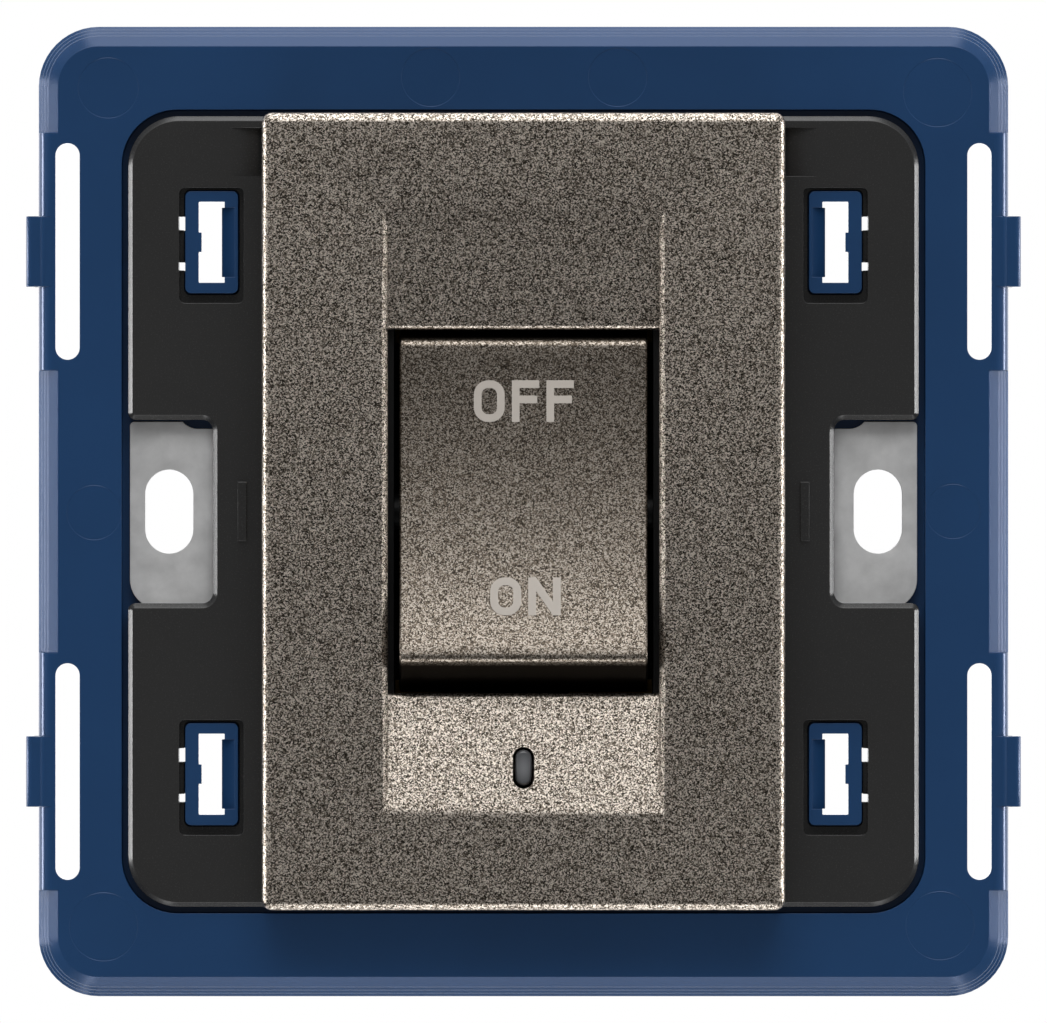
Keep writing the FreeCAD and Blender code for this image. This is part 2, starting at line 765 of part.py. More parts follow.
def bend(start, corner, end):
    """An arc that leaves start towards the corner and arrives at end from it."""
    half_chord = (end - start).Length / 2
    foot = (start + end) * 0.5
    rise = corner - foot
    half_turn = math.atan2(rise.Length, half_chord)
    middle = foot + rise * (half_chord * math.tan(half_turn / 2) / rise.Length)
    return Part.Arc(start, middle, end).toShape()


def wire_section(radius, centre, way):
    """The outline of a wire where it starts, square to its way."""
    side = way.cross(X_AXIS)
    if side.Length < tiny:
        side = way.cross(Y_AXIS)
    side = side.normalize()
    up = way.cross(side).normalize()
    corners = []
    for i in range(WIRE_SIDES + 1):
        turn = 2 * math.pi * i / WIRE_SIDES
        corners.append(centre + side * (radius * math.cos(turn)) + up * (radius * math.sin(turn)))
    return Part.makePolygon(corners)


def coil(radius, wire, height, turns):
    """A wire wound about Z from height 0, each half turn as two arcs that follow the helix."""
    climb = height / (2 * math.pi * turns)

    def place(angle):
        return vec(radius * math.cos(angle), radius * math.sin(angle), climb * angle)

    def heading(angle):
        return vec(-radius * math.sin(angle), radius * math.cos(angle), climb).normalize()

    edges = []
    for i in range(2 * turns):
        start, end = place(math.pi * i), place(math.pi * (i + 1))
        out, back = heading(math.pi * i), heading(math.pi * (i + 1))
        along = (end - start).dot(out + back)
        spread = 4 - (out + back).dot(out + back)
        reach_out = (math.sqrt(along ** 2 + spread * (end - start).dot(end - start)) - along) / spread
        near, far = start + out * reach_out, end - back * reach_out
        joint = (near + far) * 0.5
        edges += [bend(start, near, joint), bend(joint, far, end)]
    return Part.Wire(edges).makePipeShell([wire_section(wire / 2, place(0), heading(0))], True, False)


def plunger_spring(sx):
    """The coil between the barrel's floor and the plunger's tail."""
    floor = pivot_y + boss_floor
    coil_r = plunger_r - spring_wire - run_fit
    turned = coil(coil_r, spring_wire, spring_room - 2 * spring_wire, spring_turns)
    turned.rotate(vec(0, 0, 0), X_AXIS, -90)
    turned.translate(vec(sx * pole_x, floor + spring_wire, 0))
    return tilted(turned, -half_swing, pivot_y)


# Contacts

def on_pose(shape):
    """A shape built about the see-saw's pivot at zero, put where the closed contact has it."""
    moved = shape.copy()
    moved.translate(vec(0, seesaw_y, 0))
    return tilted(moved, -seesaw_half_swing, seesaw_y)


def off_pose(shape):
    """A shape built about the see-saw's pivot at zero, put where the open contact has it."""
    moved = shape.copy()
    moved.translate(vec(0, seesaw_y, 0))
    return tilted(moved, seesaw_half_swing, seesaw_y)


def moving_contact(sx):
    """The see-saw strip with the round rib that it rocks on."""
    cx, half = sx * pole_x, seesaw_width / 2
    back = seesaw_thick - seesaw_ahead
    strip = block(cx - half, cx + half, -seesaw_ahead, back, -seesaw_low, seesaw_high)
    roll = rod(roll_r, (cx - half, 0, 0), (cx + half, 0, 0))
    ahead = block(cx - half - past, cx + half + past, -reach, 0, -reach, reach)
    return off_pose(joined([strip, roll.cut(ahead)]))


def tip_disc(sx, y0, y1):
    """A contact tip between two depths from the see-saw's pivot line."""
    return rod(tip_r, (sx * pole_x, y0, tip_z), (sx * pole_x, y1, tip_z))


def moving_tip(sx):
    """The silver tip on the moving contact."""
    back = seesaw_thick - seesaw_ahead
    return off_pose(tip_disc(sx, back, back + tip_thick))


def fixed_tip(sx):
    """The silver tip that the moving tip meets when the switch is on."""
    front = seesaw_thick - seesaw_ahead + tip_thick + seesaw_gap
    return on_pose(tip_disc(sx, front, front + tip_thick))


def fixed_contact(sx):
    """The brass strip under the fixed tip, joined to the supply terminal."""
    cx, half = sx * pole_x, seesaw_width / 2
    front = seesaw_thick - seesaw_ahead + 2 * tip_thick + seesaw_gap
    high = seesaw_high + pad_beyond
    pad = on_pose(block(cx - half, cx + half, front, front + pad_thick, pad_low, high))
    turn = math.radians(seesaw_half_swing)
    end_y = seesaw_y + front * math.cos(turn) + high * math.sin(turn)
    end_z = high * math.cos(turn) - front * math.sin(turn)
    depth = max(end_y, pillar_front)
    link = block(cx - half, cx + half, depth - strip_lap, depth + pad_thick,
                 end_z - pad_thick, pillar_low)
    return joined([pad, link])


def contact_bracket(sx):
    """The brass post that carries the see-saw, joined to the load terminal."""
    cx, half = sx * pole_x, seesaw_width / 2
    base = pillar_front
    side = roll_r + bracket_lip
    post = block(cx - half, cx + half, seesaw_y + seesaw_ahead, base, -side, side)
    foot = block(cx - half, cx + half, base - pad_thick, base, -pillar_low - wire_r, side)
    groove = rod(roll_r + trunnion_fit, (cx - reach, seesaw_y, 0), (cx + reach, seesaw_y, 0))
    return joined([post, foot]).cut(groove)


# Mechanism body and rear case

def mechanism_body():
    """The front moulding of the mechanism: rocker well, bearings, lamp pocket and side catches."""
    body = slab(body_width, body_height, body_corner, body_front, body_back)
    well = block(-well_half_x, well_half_x, body_front - past, body_back + past, -well_half_z, well_half_z)
    tools = [well]
    cheek_x = well_half_x + cheek
    side_x = body_width / 2 - body_wall
    ledge_half = clip_length / 2 + peg_fit
    hook_half = hook_width / 2 + peg_fit
    hook_tip = body_back - hook_reach
    for sx in SIDES:
        tools.append(slab(side_x - cheek_x, 2 * well_half_z, inner_corner, body_front + body_wall,
                          body_back + past, sx * (side_x + cheek_x) / 2, 0))
        for sz in SIDES:
            z = sz * clip_z
            tools.append(block(sx * (body_width / 2 - clip_reach), sx * body_width, ledge_front - peg_fit,
                               ledge_front + clip_thick + peg_fit, z - ledge_half, z + ledge_half))
            z = sz * hook_z
            tools.append(block(sx * (body_width / 2 - hook_nose - peg_fit), sx * body_width,
                               hook_tip - peg_fit, hook_tip + hook_grip + peg_fit,
                               z - hook_half, z + hook_half))
    tools.append(rod(trunnion_r + trunnion_fit, (-cheek_x, pivot_y, 0), (cheek_x, pivot_y, 0)))
    tools.append(block(-pocket_half_x, pocket_half_x, body_front - past, body_back - pocket_floor,
                       lens_z - pocket_half_z, lens_z + pocket_half_z))
    for sx in SIDES:
        tools.append(rod(lead_r + peg_fit, (sx * lead_x, 0, lens_z), (sx * lead_x, reach, lens_z)))
    body = body.cut(tools)
    extras = []
    for sx in SIDES:
        points = [(body_width / 2, web_front + peg_fit), (yoke_half_x + catch_reach, web_front + peg_fit),
                  (body_width / 2, web_front + catch_depth)]
        extras.append(plan_profile([(sx * x, y) for x, y in points], -catch_length / 2, catch_length / 2))
        rest = block(sx * lamp_half, sx * (lamp_half - lamp_rest), lamp_y, body_back - pocket_floor,
                     lens_z - pocket_half_z, lens_z + pocket_half_z)
        extras.append(rest.cut(rod(lamp_r + peg_fit, (-reach, lamp_y, lens_z), (reach, lamp_y, lens_z))))
    return joined([body] + extras)


def case_hook(sx, sz):
    """An arm of the rear case that snaps into a window of the mechanism body."""
    tip = body_back - hook_reach
    face = body_width / 2
    z0, z1 = sz * hook_z - hook_width / 2, sz * hook_z + hook_width / 2
    root = body_back + hook_root
    points = [(face, tip), (face, body_back), (face - case_wall, body_back)]
    points += [(face - case_wall, root + hook_taper), (face + hook_thick, root), (face + hook_thick, tip)]
    arm = plan_profile([(sx * x, y) for x, y in points], z0, z1)
    points = [(face, tip), (face, tip + hook_grip), (face - hook_nose, tip + hook_grip)]
    return arm.fuse(plan_profile([(sx * x, y) for x, y in points], z0, z1))


def rear_case():
    """The rear moulding: two pole chambers, ribs round the terminals, wire entries and screw ways."""
    body = slab(body_width, body_height, body_corner, body_back, case_back)
    body = body.makeChamfer(case_edge, edges_on_level(body, case_back))
    half_x, half_z = body_width / 2 - case_wall, body_height / 2 - case_wall
    tools = []
    for sx in SIDES:
        tools.append(block(sx * barrier / 2, sx * half_x, body_back - past, case_inside, -half_z, half_z))
    body = body.cut(tools)
    ribs = []
    side = pillar_width / 2 + pass_fit
    for sx in SIDES:
        for sz in SIDES:
            for edge in (-1, 1):
                x0 = sx * pillar_x + edge * side
                ribs.append(block(x0, x0 + edge * pocket_rib, pillar_front + rib_recess, case_inside,
                                  sz * (pillar_low + pass_fit), sz * half_z))
            z0 = sz * (pillar_low - pass_fit)
            ribs.append(block(sx * (pillar_x - side), sx * (pillar_x + side), pillar_front + stop_recess,
                              case_inside, z0, z0 - sz * pocket_rib))
        ribs += [case_hook(sx, sz) for sz in SIDES]
    body = joined([body] + ribs)
    holes = []
    for sx in SIDES:
        for sz in SIDES:
            x, z = sx * pillar_x, sz * wire_z
            holes.append(rod(entry_r, (x, case_inside - past, z), (x, case_back + past, z)))
            holes.append(rod(chimney_r, (x, screw_y, sz * (half_z - past)), (x, screw_y, sz * reach)))
    return body.cut(holes)


# Terminals

def terminal(sx, sz):
    """A brass pillar: wire bore from the back, tapped hole from the side."""
    cx = sx * pillar_x
    z0, z1 = sz * pillar_low, sz * pillar_high
    body = block(cx - pillar_width / 2, cx + pillar_width / 2, pillar_front, case_inside, z0, z1)
    edges = [e for e in body.Edges if e.BoundBox.YLength > pillar_depth / 2]
    body = body.makeChamfer(pillar_edge, edges)
    wire = rod(wire_r, (cx, case_inside + past, sz * wire_z), (cx, case_inside - wire_depth, sz * wire_z))
    tap = rod(screw_r + run_fit, (cx, screw_y, sz * wire_z), (cx, screw_y, sz * reach))
    return body.cut([wire, tap])


def terminal_screw(sx, sz):
    """The slotted clamping screw, backed out so that its wire bore is open."""
    cx = sx * pillar_x
    tip = sz * (wire_z + wire_r + screw_tip_gap)
    neck, top = sz * head_low, sz * (head_low + screw_head)
    shank = rod(screw_r, (cx, screw_y, tip), (cx, screw_y, neck))
    head = rod(screw_head_r, (cx, screw_y, neck), (cx, screw_y, top))
    cut = block(cx - reach, cx + reach, screw_y - screw_slot / 2, screw_y + screw_slot / 2,
                top - sz * screw_slot, top + sz)
    return joined([shank, head]).cut(cut)


# Indicator

def lens_face_y():
    """Depth of the bezel's lower slope at the middle of the lens."""
    along = (abs(lens_z) - opening_height / 2) / (recess_height / 2 - opening_height / 2)
    return recess_floor - recess_depth * along


def lens_hole():
    """The hole for the lens through the bezel's lower slope."""
    return slot(lens_width + 2 * lens_gap, lens_height + 2 * lens_gap, bezel_front - past, body_front + past,
                0, lens_z)


def indicator_lens():
    """The light guide: an upright slot-shaped stem with a flange behind the bezel."""
    stem = slot(lens_width, lens_height, lens_face_y() + lens_sunk, body_front, 0, lens_z)
    rim = edges_on_level(stem, lens_face_y() + lens_sunk)
    stem = stem.makeChamfer(lens_bevel, rim)
    flange = slot(lens_width + 2 * lens_flange_wide, lens_height + 2 * lens_flange_wide, body_front,
                  body_front + lens_flange, 0, lens_z)
    return joined([stem, flange])


def neon_lamp():
    """The glass lamp lying across its pocket behind the lens."""
    tube = rod(lamp_r, (-lamp_half, lamp_y, lens_z), (lamp_half, lamp_y, lens_z))
    ends = [e for e in tube.Edges if e.BoundBox.XLength < tiny]
    return tube.makeChamfer(lamp_bevel, ends)


def lamp_lead(sx):
    """A bare lead from the lamp's end, bent back to the load terminal."""
    start = vec(sx * lamp_half, lamp_y, lens_z)
    corner = vec(sx * lead_x, lamp_y, lens_z)
    turn_in = corner - X_AXIS * (sx * lead_bend)
    turn_out = corner + Y_AXIS * lead_bend
    end = vec(sx * lead_x, pillar_front, lens_z)
    edges = [Part.makeLine(start, turn_in), bend(turn_in, corner, turn_out), Part.makeLine(turn_out, end)]
    return Part.Wire(edges).makePipeShell([wire_section(lead_r, start, X_AXIS)], True, False)


def lamp_resistor():
    """The resistor in series with the lamp, threaded on its left lead."""
    return rod(resistor_r, (-lead_x, resistor_span[0], lens_z), (-lead_x, resistor_span[1], lens_z))


def build():
    """Make every piece and write it."""
    os.makedirs("parts", exist_ok=True)
    save("plate_carrier", plate_carrier())
    save("support_plate", support_plate())
    save("fixing_yoke", fixing_yoke())
    save("front_bezel", front_bezel())
    save("rocker_cap", rocker_cap())
    save("rocker_cradle", rocker_cradle())
    save("mechanism_body", mechanism_body())
    save("rear_case", rear_case())
    save("indicator_lens", indicator_lens())
    save("neon_lamp", neon_lamp())
    resistor = lamp_resistor()
    leads = [lamp_lead(sx).cut(resistor) for sx in SIDES]
    save("lamp_leads", Part.makeCompound(leads))
    save("lamp_resistor", resistor)
    for sx, pole in POLES:
        save("moving_contact_" + pole, moving_contact(sx))
        save("moving_tip_" + pole, moving_tip(sx))
        save("fixed_contact_" + pole, fixed_contact(sx))
        save("fixed_tip_" + pole, fixed_tip(sx))
        save("contact_bracket_" + pole, contact_bracket(sx))
        save("plunger_" + pole, plunger(sx))
        save("plunger_spring_" + pole, plunger_spring(sx))
        for sz, end in ((1, "in"), (-1, "out")):
            save("terminal_" + pole + "_" + end, terminal(sx, sz))
            save("screw_" + pole + "_" + end, terminal_screw(sx, sz))


build()
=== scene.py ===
"""Looks of a double-pole rocker switch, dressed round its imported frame.

The frame's axes hold here too: X to the right, Z up and -Y towards the room. Sizes are written in
millimetres, as a maker would, and become metres where a mesh or a pattern is made.
"""

import json
import logging
import math
from dataclasses import dataclass, field
from enum import Enum
from typing import Callable

import bmesh
import bpy
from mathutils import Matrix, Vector

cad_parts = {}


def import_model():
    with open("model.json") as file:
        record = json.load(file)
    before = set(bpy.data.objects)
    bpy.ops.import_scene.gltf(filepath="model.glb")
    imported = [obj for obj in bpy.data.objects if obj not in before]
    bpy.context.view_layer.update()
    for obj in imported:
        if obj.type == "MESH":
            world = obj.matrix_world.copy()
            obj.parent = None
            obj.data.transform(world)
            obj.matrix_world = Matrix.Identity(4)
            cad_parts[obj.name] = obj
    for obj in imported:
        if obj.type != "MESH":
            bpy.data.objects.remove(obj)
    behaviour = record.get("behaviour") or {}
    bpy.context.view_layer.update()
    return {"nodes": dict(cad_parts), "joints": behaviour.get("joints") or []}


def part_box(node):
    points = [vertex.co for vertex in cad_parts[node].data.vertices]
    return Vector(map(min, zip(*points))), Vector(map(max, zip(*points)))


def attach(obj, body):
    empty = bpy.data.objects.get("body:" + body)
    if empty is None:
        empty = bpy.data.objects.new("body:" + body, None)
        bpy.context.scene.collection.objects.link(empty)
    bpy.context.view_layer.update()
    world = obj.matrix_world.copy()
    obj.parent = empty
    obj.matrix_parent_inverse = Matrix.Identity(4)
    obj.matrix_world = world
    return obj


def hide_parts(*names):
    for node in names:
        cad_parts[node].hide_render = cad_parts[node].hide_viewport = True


MM = 0.001
NEAR_MM = 0.004
FLAT_DEGREES = 0.5
TINT_STOPS = (0.3, 0.7)
LENS_Z = -21.7
PAINTED_END_SHADE = "painted_end_shade"
Point = tuple[float, float, float]
log = logging.getLogger("switch")


class Axis(Enum):
    """A direction of the frame, as a unit vector."""

    RIGHT = (1.0, 0.0, 0.0)
    INWARD = (0.0, 1.0, 0.0)
    UP = (0.0, 0.0, 1.0)


class Kind(Enum):
    """What an operator in edit mode acts on."""

    POINTS = "VERT"
    EDGES = "EDGE"
    FACES = "FACE"


def linear(code: str) -> tuple[float, float, float, float]:
    """Turn an sRGB hex colour to linear light.

    Args:
        code: the colour as #rrggbb.

    Returns:
        Red, green and blue in linear light, and an alpha of one.
    """
    parts = []
    for start in (1, 3, 5):
        value = int(code[start:start + 2], 16) / 255
        parts.append(value / 12.92 if value <= 0.04045 else ((value + 0.055) / 1.055) ** 2.4)
    return parts[0], parts[1], parts[2], 1.0


def per_metre(size_mm: float) -> float:
    """Scale for a texture in Object coordinates whose features are this many millimetres wide."""
    return 1.0 / (size_mm * MM)


def add_node(tree: bpy.types.NodeTree, kind: str, inputs: dict | None = None, **settings) -> bpy.types.Node:
    """Add one node with its settings and links.

    Args:
        tree: the tree that takes the node.
        kind: the node's type.
        inputs: a value or an output socket for each named or numbered input.
        **settings: the node's own properties.

    Returns:
        The new node.
    """
    node = tree.nodes.new(kind)
    for name, value in settings.items():
        setattr(node, name, value)
    for key, value in (inputs or {}).items():
        if isinstance(value, bpy.types.NodeSocket):
            tree.links.new(value, node.inputs[key])
        else:
            node.inputs[key].default_value = value
    return node


def reckon(tree: bpy.types.NodeTree, operation: str,
           *terms: float | bpy.types.NodeSocket) -> bpy.types.NodeSocket:
    """Add one Math node for an operation on its terms, and hand over the result."""
    return add_node(tree, "ShaderNodeMath", dict(enumerate(terms)), operation=operation).outputs[0]


def noise(tree: bpy.types.NodeTree, place: bpy.types.NodeSocket, size_mm: float, detail: float,
          roughness: float = 0.5) -> bpy.types.NodeSocket:
    """Add a noise whose features are this many millimetres wide, and hand over its level."""
    return add_node(tree, "ShaderNodeTexNoise",
                    {"Vector": place, "Scale": per_metre(size_mm), "Detail": detail,
                     "Roughness": roughness}).outputs["Fac"]


def relief(tree: bpy.types.NodeTree, height: bpy.types.NodeSocket, depth_mm: float,
           strength: float) -> bpy.types.NodeSocket:
    """Raise a pattern to a relief this many millimetres deep, and hand over its normals."""
    return add_node(tree, "ShaderNodeBump",
                    {"Height": height, "Distance": depth_mm * MM, "Strength": strength}).outputs["Normal"]


def new_material(name: str) -> tuple[bpy.types.Material, bpy.types.NodeTree]:
    """Start an empty node material.

    Args:
        name: the material's name.

    Returns:
        The material and its node tree.
    """
    material = bpy.data.materials.new(name)
    material.use_nodes = True
    material.node_tree.nodes.clear()
    return material, material.node_tree


def surface(tree: bpy.types.NodeTree, inputs: dict) -> None:
    """Put a shader with these inputs on the material's surface."""
    shader = add_node(tree, "ShaderNodeBsdfPrincipled", inputs)
    add_node(tree, "ShaderNodeOutputMaterial", {"Surface": shader.outputs["BSDF"]})


def tinted(tree: bpy.types.NodeTree, amount: bpy.types.NodeSocket, colour: str,
           spread: float) -> bpy.types.Node:
    """Vary one colour a little lighter and darker with a pattern.

    Args:
        tree: the tree that takes the node.
        amount: the pattern, around one half.
        colour: the middle colour as #rrggbb.
        spread: share by which the colour falls and rises.

    Returns:
        The node whose Color output is the varied colour.
    """
    red, green, blue, _ = linear(colour)
    ramp = add_node(tree, "ShaderNodeValToRGB", {"Fac": amount})
    for element, place, share in zip(ramp.color_ramp.elements, TINT_STOPS, (1 - spread, 1 + spread)):
        element.position = place
        element.color = (red * share, green * share, blue * share, 1.0)
    return ramp


@dataclass(frozen=True)
class MetallicLacquer:
    """Sprayed lacquer with coarse metal flake, as on the bezel and the key.

    Each flake lies at its own tilt in a satin binder. The eye sees a salt-and-pepper sparkle whose grain
    is the same on every face, and round edges that catch the light as a pale band. The real flakes are
    finer than a pixel of the picture, so they are drawn as coarse as their clusters show. Where a piece
    has points marked with painted end shade, the colour turns dark brown: painted shade on faces that turn
    away from the light.
    """

    name: str = "bronze metallic lacquer, sprayed"
    dark: str = "#332e27"
    mid: str = "#8e8377"
    light: str = "#ebe1d5"
    flake_mm: float = 0.095
    cluster_mm: float = 0.16
    # Dark brown for the marked points: painted shade, not a thinner coat.
    painted_end_shade: str = "#211b15"
    roughness: float = 0.40
    metallic: float = 1.0
    tilt_mm: float = 0.012
    tilt_strength: float = 0.3
    cluster_share: float = 0.25
    dark_to: float = 0.25
    mid_at: float = 0.50
    light_from: float = 0.78

    def build(self) -> bpy.types.Material:
        """Make the material.

        Returns:
            The finished material.
        """
        material, tree = new_material(self.name)
        place = add_node(tree, "ShaderNodeTexCoord").outputs["Object"]
        flakes = add_node(tree, "ShaderNodeTexVoronoi",
                          {"Vector": place, "Scale": per_metre(self.flake_mm), "Randomness": 1.0})
        bright = add_node(tree, "ShaderNodeSeparateColor", {"Color": flakes.outputs["Color"]})
        clusters = noise(tree, place, self.cluster_mm, detail=1.0)
        mixed = add_node(tree, "ShaderNodeMix",
                         {"Factor": self.cluster_share, "A": bright.outputs["Red"], "B": clusters})
        ramp = add_node(tree, "ShaderNodeValToRGB", {"Fac": mixed.outputs["Result"]})
        stops = ramp.color_ramp.elements
        stops[0].position = self.dark_to
        stops[0].color = linear(self.dark)
        stops[1].position = self.light_from
        stops[1].color = linear(self.light)
        stops.new(self.mid_at).color = linear(self.mid)
        # Mix the painted shade in at the marked points.
        reached = add_node(tree, "ShaderNodeAttribute", attribute_name=PAINTED_END_SHADE)
        colour = add_node(tree, "ShaderNodeMix",
                          {"Factor": reached.outputs["Fac"], "A": ramp.outputs["Color"],
                           "B": linear(self.painted_end_shade)}, data_type="RGBA")
        tilts = relief(tree, mixed.outputs["Result"], self.tilt_mm, self.tilt_strength)
        surface(tree, {"Base Color": colour.outputs["Result"], "Metallic": self.metallic,
                       "Roughness": self.roughness, "Normal": tilts})
        return material


@dataclass(frozen=True)
class MouldedPlastic:
    """Injection-moulded plastic from a fine spark-eroded tool.

    The tool leaves a very fine even grain, so the surface is satin with soft broad highlights, and its
    colour drifts a little over centimetres where the melt flowed.
    """

    name: str
    colour: str
    roughness: float = 0.28
    grain_mm: float = 0.12
    grain_depth_mm: float = 0.004
    drift_mm: float = 14.0
    drift: float = 0.06
    specular: float = 0.5
    gloss_tint: str = "#ffffff"
    grain_strength: float = 0.4
    gloss_spread: float = 0.06

    def build(self) -> bpy.types.Material:
        """Make the material.

        Returns:
            The finished material.
        """
        material, tree = new_material(self.name)
        place = add_node(tree, "ShaderNodeTexCoord").outputs["Object"]
        grain = noise(tree, place, self.grain_mm, detail=2.0)
        cloud = noise(tree, place, self.drift_mm, detail=3.0)
        colour = tinted(tree, cloud, self.colour, self.drift)
        rough = add_node(tree, "ShaderNodeMapRange",
                         {"Value": grain, "To Min": self.roughness - self.gloss_spread,
                          "To Max": self.roughness + self.gloss_spread})
        surface(tree, {"Base Color": colour.outputs["Color"], "Roughness": rough.outputs["Result"],
                       "Specular IOR Level": self.specular, "Specular Tint": linear(self.gloss_tint),
                       "Normal": relief(tree, grain, self.grain_depth_mm, self.grain_strength)})
        return material


@dataclass(frozen=True)
class RolledMetal:
    """Sheet or bar metal as it leaves the press: satin, cloudy and lightly scratched.

    Handling leaves hairline scratches in all directions, and the plating leaves cloudy patches a few
    millimetres wide, so its grey is uneven and its highlights are broad.
    """

    name: str
    colour: str
    roughness: float = 0.50
    cloud_mm: float = 2.5
    cloud: float = 0.10
    scratch_mm: float = 0.30
    scratch_depth_mm: float = 0.002
    scratch_strength: float = 0.5
    scratch_turn: float = 38.0
    scratch_squash: Point = (1.0, 1.0, 0.05)
    polish: float = 0.08
    dulling: float = 0.10

    def build(self) -> bpy.types.Material:
        """Make the material.

        Returns:
            The finished material.
        """
        material, tree = new_material(self.name)
        place = add_node(tree, "ShaderNodeTexCoord").outputs["Object"]
        cloud = noise(tree, place, self.cloud_mm, detail=4.0, roughness=0.6)
        colour = tinted(tree, cloud, self.colour, self.cloud)
        turned = add_node(tree, "ShaderNodeMapping",
                          {"Vector": place, "Rotation": (0.0, math.radians(self.scratch_turn), 0.0),
                           "Scale": self.scratch_squash})
        scratch = noise(tree, turned.outputs["Vector"], self.scratch_mm, detail=2.0)
        rough = add_node(tree, "ShaderNodeMapRange",
                         {"Value": cloud, "To Min": self.roughness - self.polish,
                          "To Max": self.roughness + self.dulling})
        surface(tree, {"Base Color": colour.outputs["Color"], "Metallic": 1.0,
                       "Roughness": rough.outputs["Result"],
                       "Normal": relief(tree, scratch, self.scratch_depth_mm, self.scratch_strength)})
        return material


@dataclass(frozen=True)
class SmokedLens:
    """Smoked polycarbonate light guide, polished on its tip.

    It is clear enough to look grey and deep. Its colour is painted paler in the middle, where the guide
    behind it shows,
    and darker towards the rim: painted light and shade. A sharp small highlight shows on its rounded rim.
    """

    name: str = "smoked polycarbonate, polished"
    # Darker rim and paler middle: painted shade and painted light on the clear tip.
    rim: str = "#3c3d40"
    middle: str = "#727376"
    painted_glow_mm: float = 1.1
    painted_glow_squash: Point = (1.0, 0.0, 0.55)
    roughness: float = 0.12
    ior: float = 1.585
    centre: Point = (0.0, 0.0, LENS_Z)

    def build(self) -> bpy.types.Material:
        """Make the material.

        Returns:
            The finished material.
        """
        material, tree = new_material(self.name)
        place = add_node(tree, "ShaderNodeTexCoord").outputs["Object"]
        shift = tuple(-value * MM for value in self.centre)
        at_tip = add_node(tree, "ShaderNodeVectorMath", {0: place, 1: shift}, operation="ADD")
        flat = add_node(tree, "ShaderNodeVectorMath",
                        {0: at_tip.outputs[0], 1: self.painted_glow_squash}, operation="MULTIPLY")
        away = add_node(tree, "ShaderNodeVectorMath", {0: flat.outputs[0]}, operation="LENGTH")
        # Paler towards the middle, darker towards the rim: painted light and shade.
        ramp = add_node(tree, "ShaderNodeMapRange",
                        {"Value": away.outputs["Value"], "From Max": self.painted_glow_mm * MM, "To Min": 1.0,
                         "To Max": 0.0}, interpolation_type="SMOOTHSTEP")
        colour = add_node(tree, "ShaderNodeMix",
                          {"Factor": ramp.outputs["Result"], "A": linear(self.rim), "B": linear(self.middle)},
                          data_type="RGBA")
        surface(tree, {"Base Color": colour.outputs["Result"], "Roughness": self.roughness,
                       "IOR": self.ior})
        return material


class Shade(Enum):
    """The finishes of the switch, each with the record's slot that it dresses."""

    BLUE_ABS = ("blue_abs", MouldedPlastic("blue ABS, moulded satin", "#1e3f67", roughness=0.21,
                                           gloss_tint="#ccdaff"))
    BLACK_ABS = ("black_abs", MouldedPlastic("black ABS, moulded satin", "#292929", roughness=0.26))
    STEEL = ("steel_sheet", RolledMetal("steel sheet, zinc plated", "#e8e8e8"))
    LACQUER = ("bronze_lacquer", MetallicLacquer())
    # A darker copy of the bezel's lacquer: painted shade for the key sunk in the field.
    KEY_LACQUER = ("bronze_lacquer", MetallicLacquer("bronze metallic lacquer, darkened as painted shade",
                                                     "#3f3932", "#7a6f63", "#bbb2a7"))
    INK = ("bronze_lacquer", MouldedPlastic("pale grey ink, pad printed", "#c6beb5", roughness=0.6))
    WHITE_NYLON = ("white_nylon", MouldedPlastic("white nylon, moulded", "#d8d6cf"))
    # Near-black body: painted shade, so that the key's side gaps show black.
    CHARCOAL_NYLON = ("charcoal_nylon", MouldedPlastic("charcoal glass-filled nylon, moulded", "#0c0c0d",
                                                       roughness=0.55, specular=0.3))
    # Dark nylon of the rear case, darkened further so that the cradle passes for shade in the key's side
    # gaps.
    DARK_NYLON = ("dark_nylon", MouldedPlastic("dark glass-filled nylon, darkened for painted gap shade", "#18191b", roughness=0.5))
    LAMP_GLASS = ("lamp_glass", MouldedPlastic("neon lamp glass, drawn", "#d9c9b8", roughness=0.1))
    SMOKE_LENS = ("smoke_lens", SmokedLens())
    TINNED_WIRE = ("tinned_wire", RolledMetal("copper wire, tinned", "#b5b5b0"))
    RESISTOR = ("resistor_lacquer", MouldedPlastic("resistor lacquer, dipped", "#8a6f4a"))
    COPPER = ("contact_copper", RolledMetal("contact copper, rolled", "#b5714a"))
    SILVER = ("contact_silver", RolledMetal("contact silver, pressed", "#d4d4d2"))
    STRIP_BRASS = ("strip_brass", RolledMetal("brass strip, pressed", "#b89a55"))
    TERMINAL_BRASS = ("terminal_brass", RolledMetal("terminal brass, machined", "#b59450"))
    PLATED_STEEL = ("plated_steel", RolledMetal("screw steel, zinc plated", "#b9b9b4"))
    SPRING_STEEL = ("spring_steel", RolledMetal("spring steel wire, drawn", "#8d8f92"))

    @property
    def slot(self) -> str:
        """Name of the record's material slot."""
        return self.value[0]

    @property
    def material(self) -> bpy.types.Material:
        """The finish's material, made at its first use."""
        finish = self.value[1]
        return bpy.data.materials.get(finish.name) or finish.build()


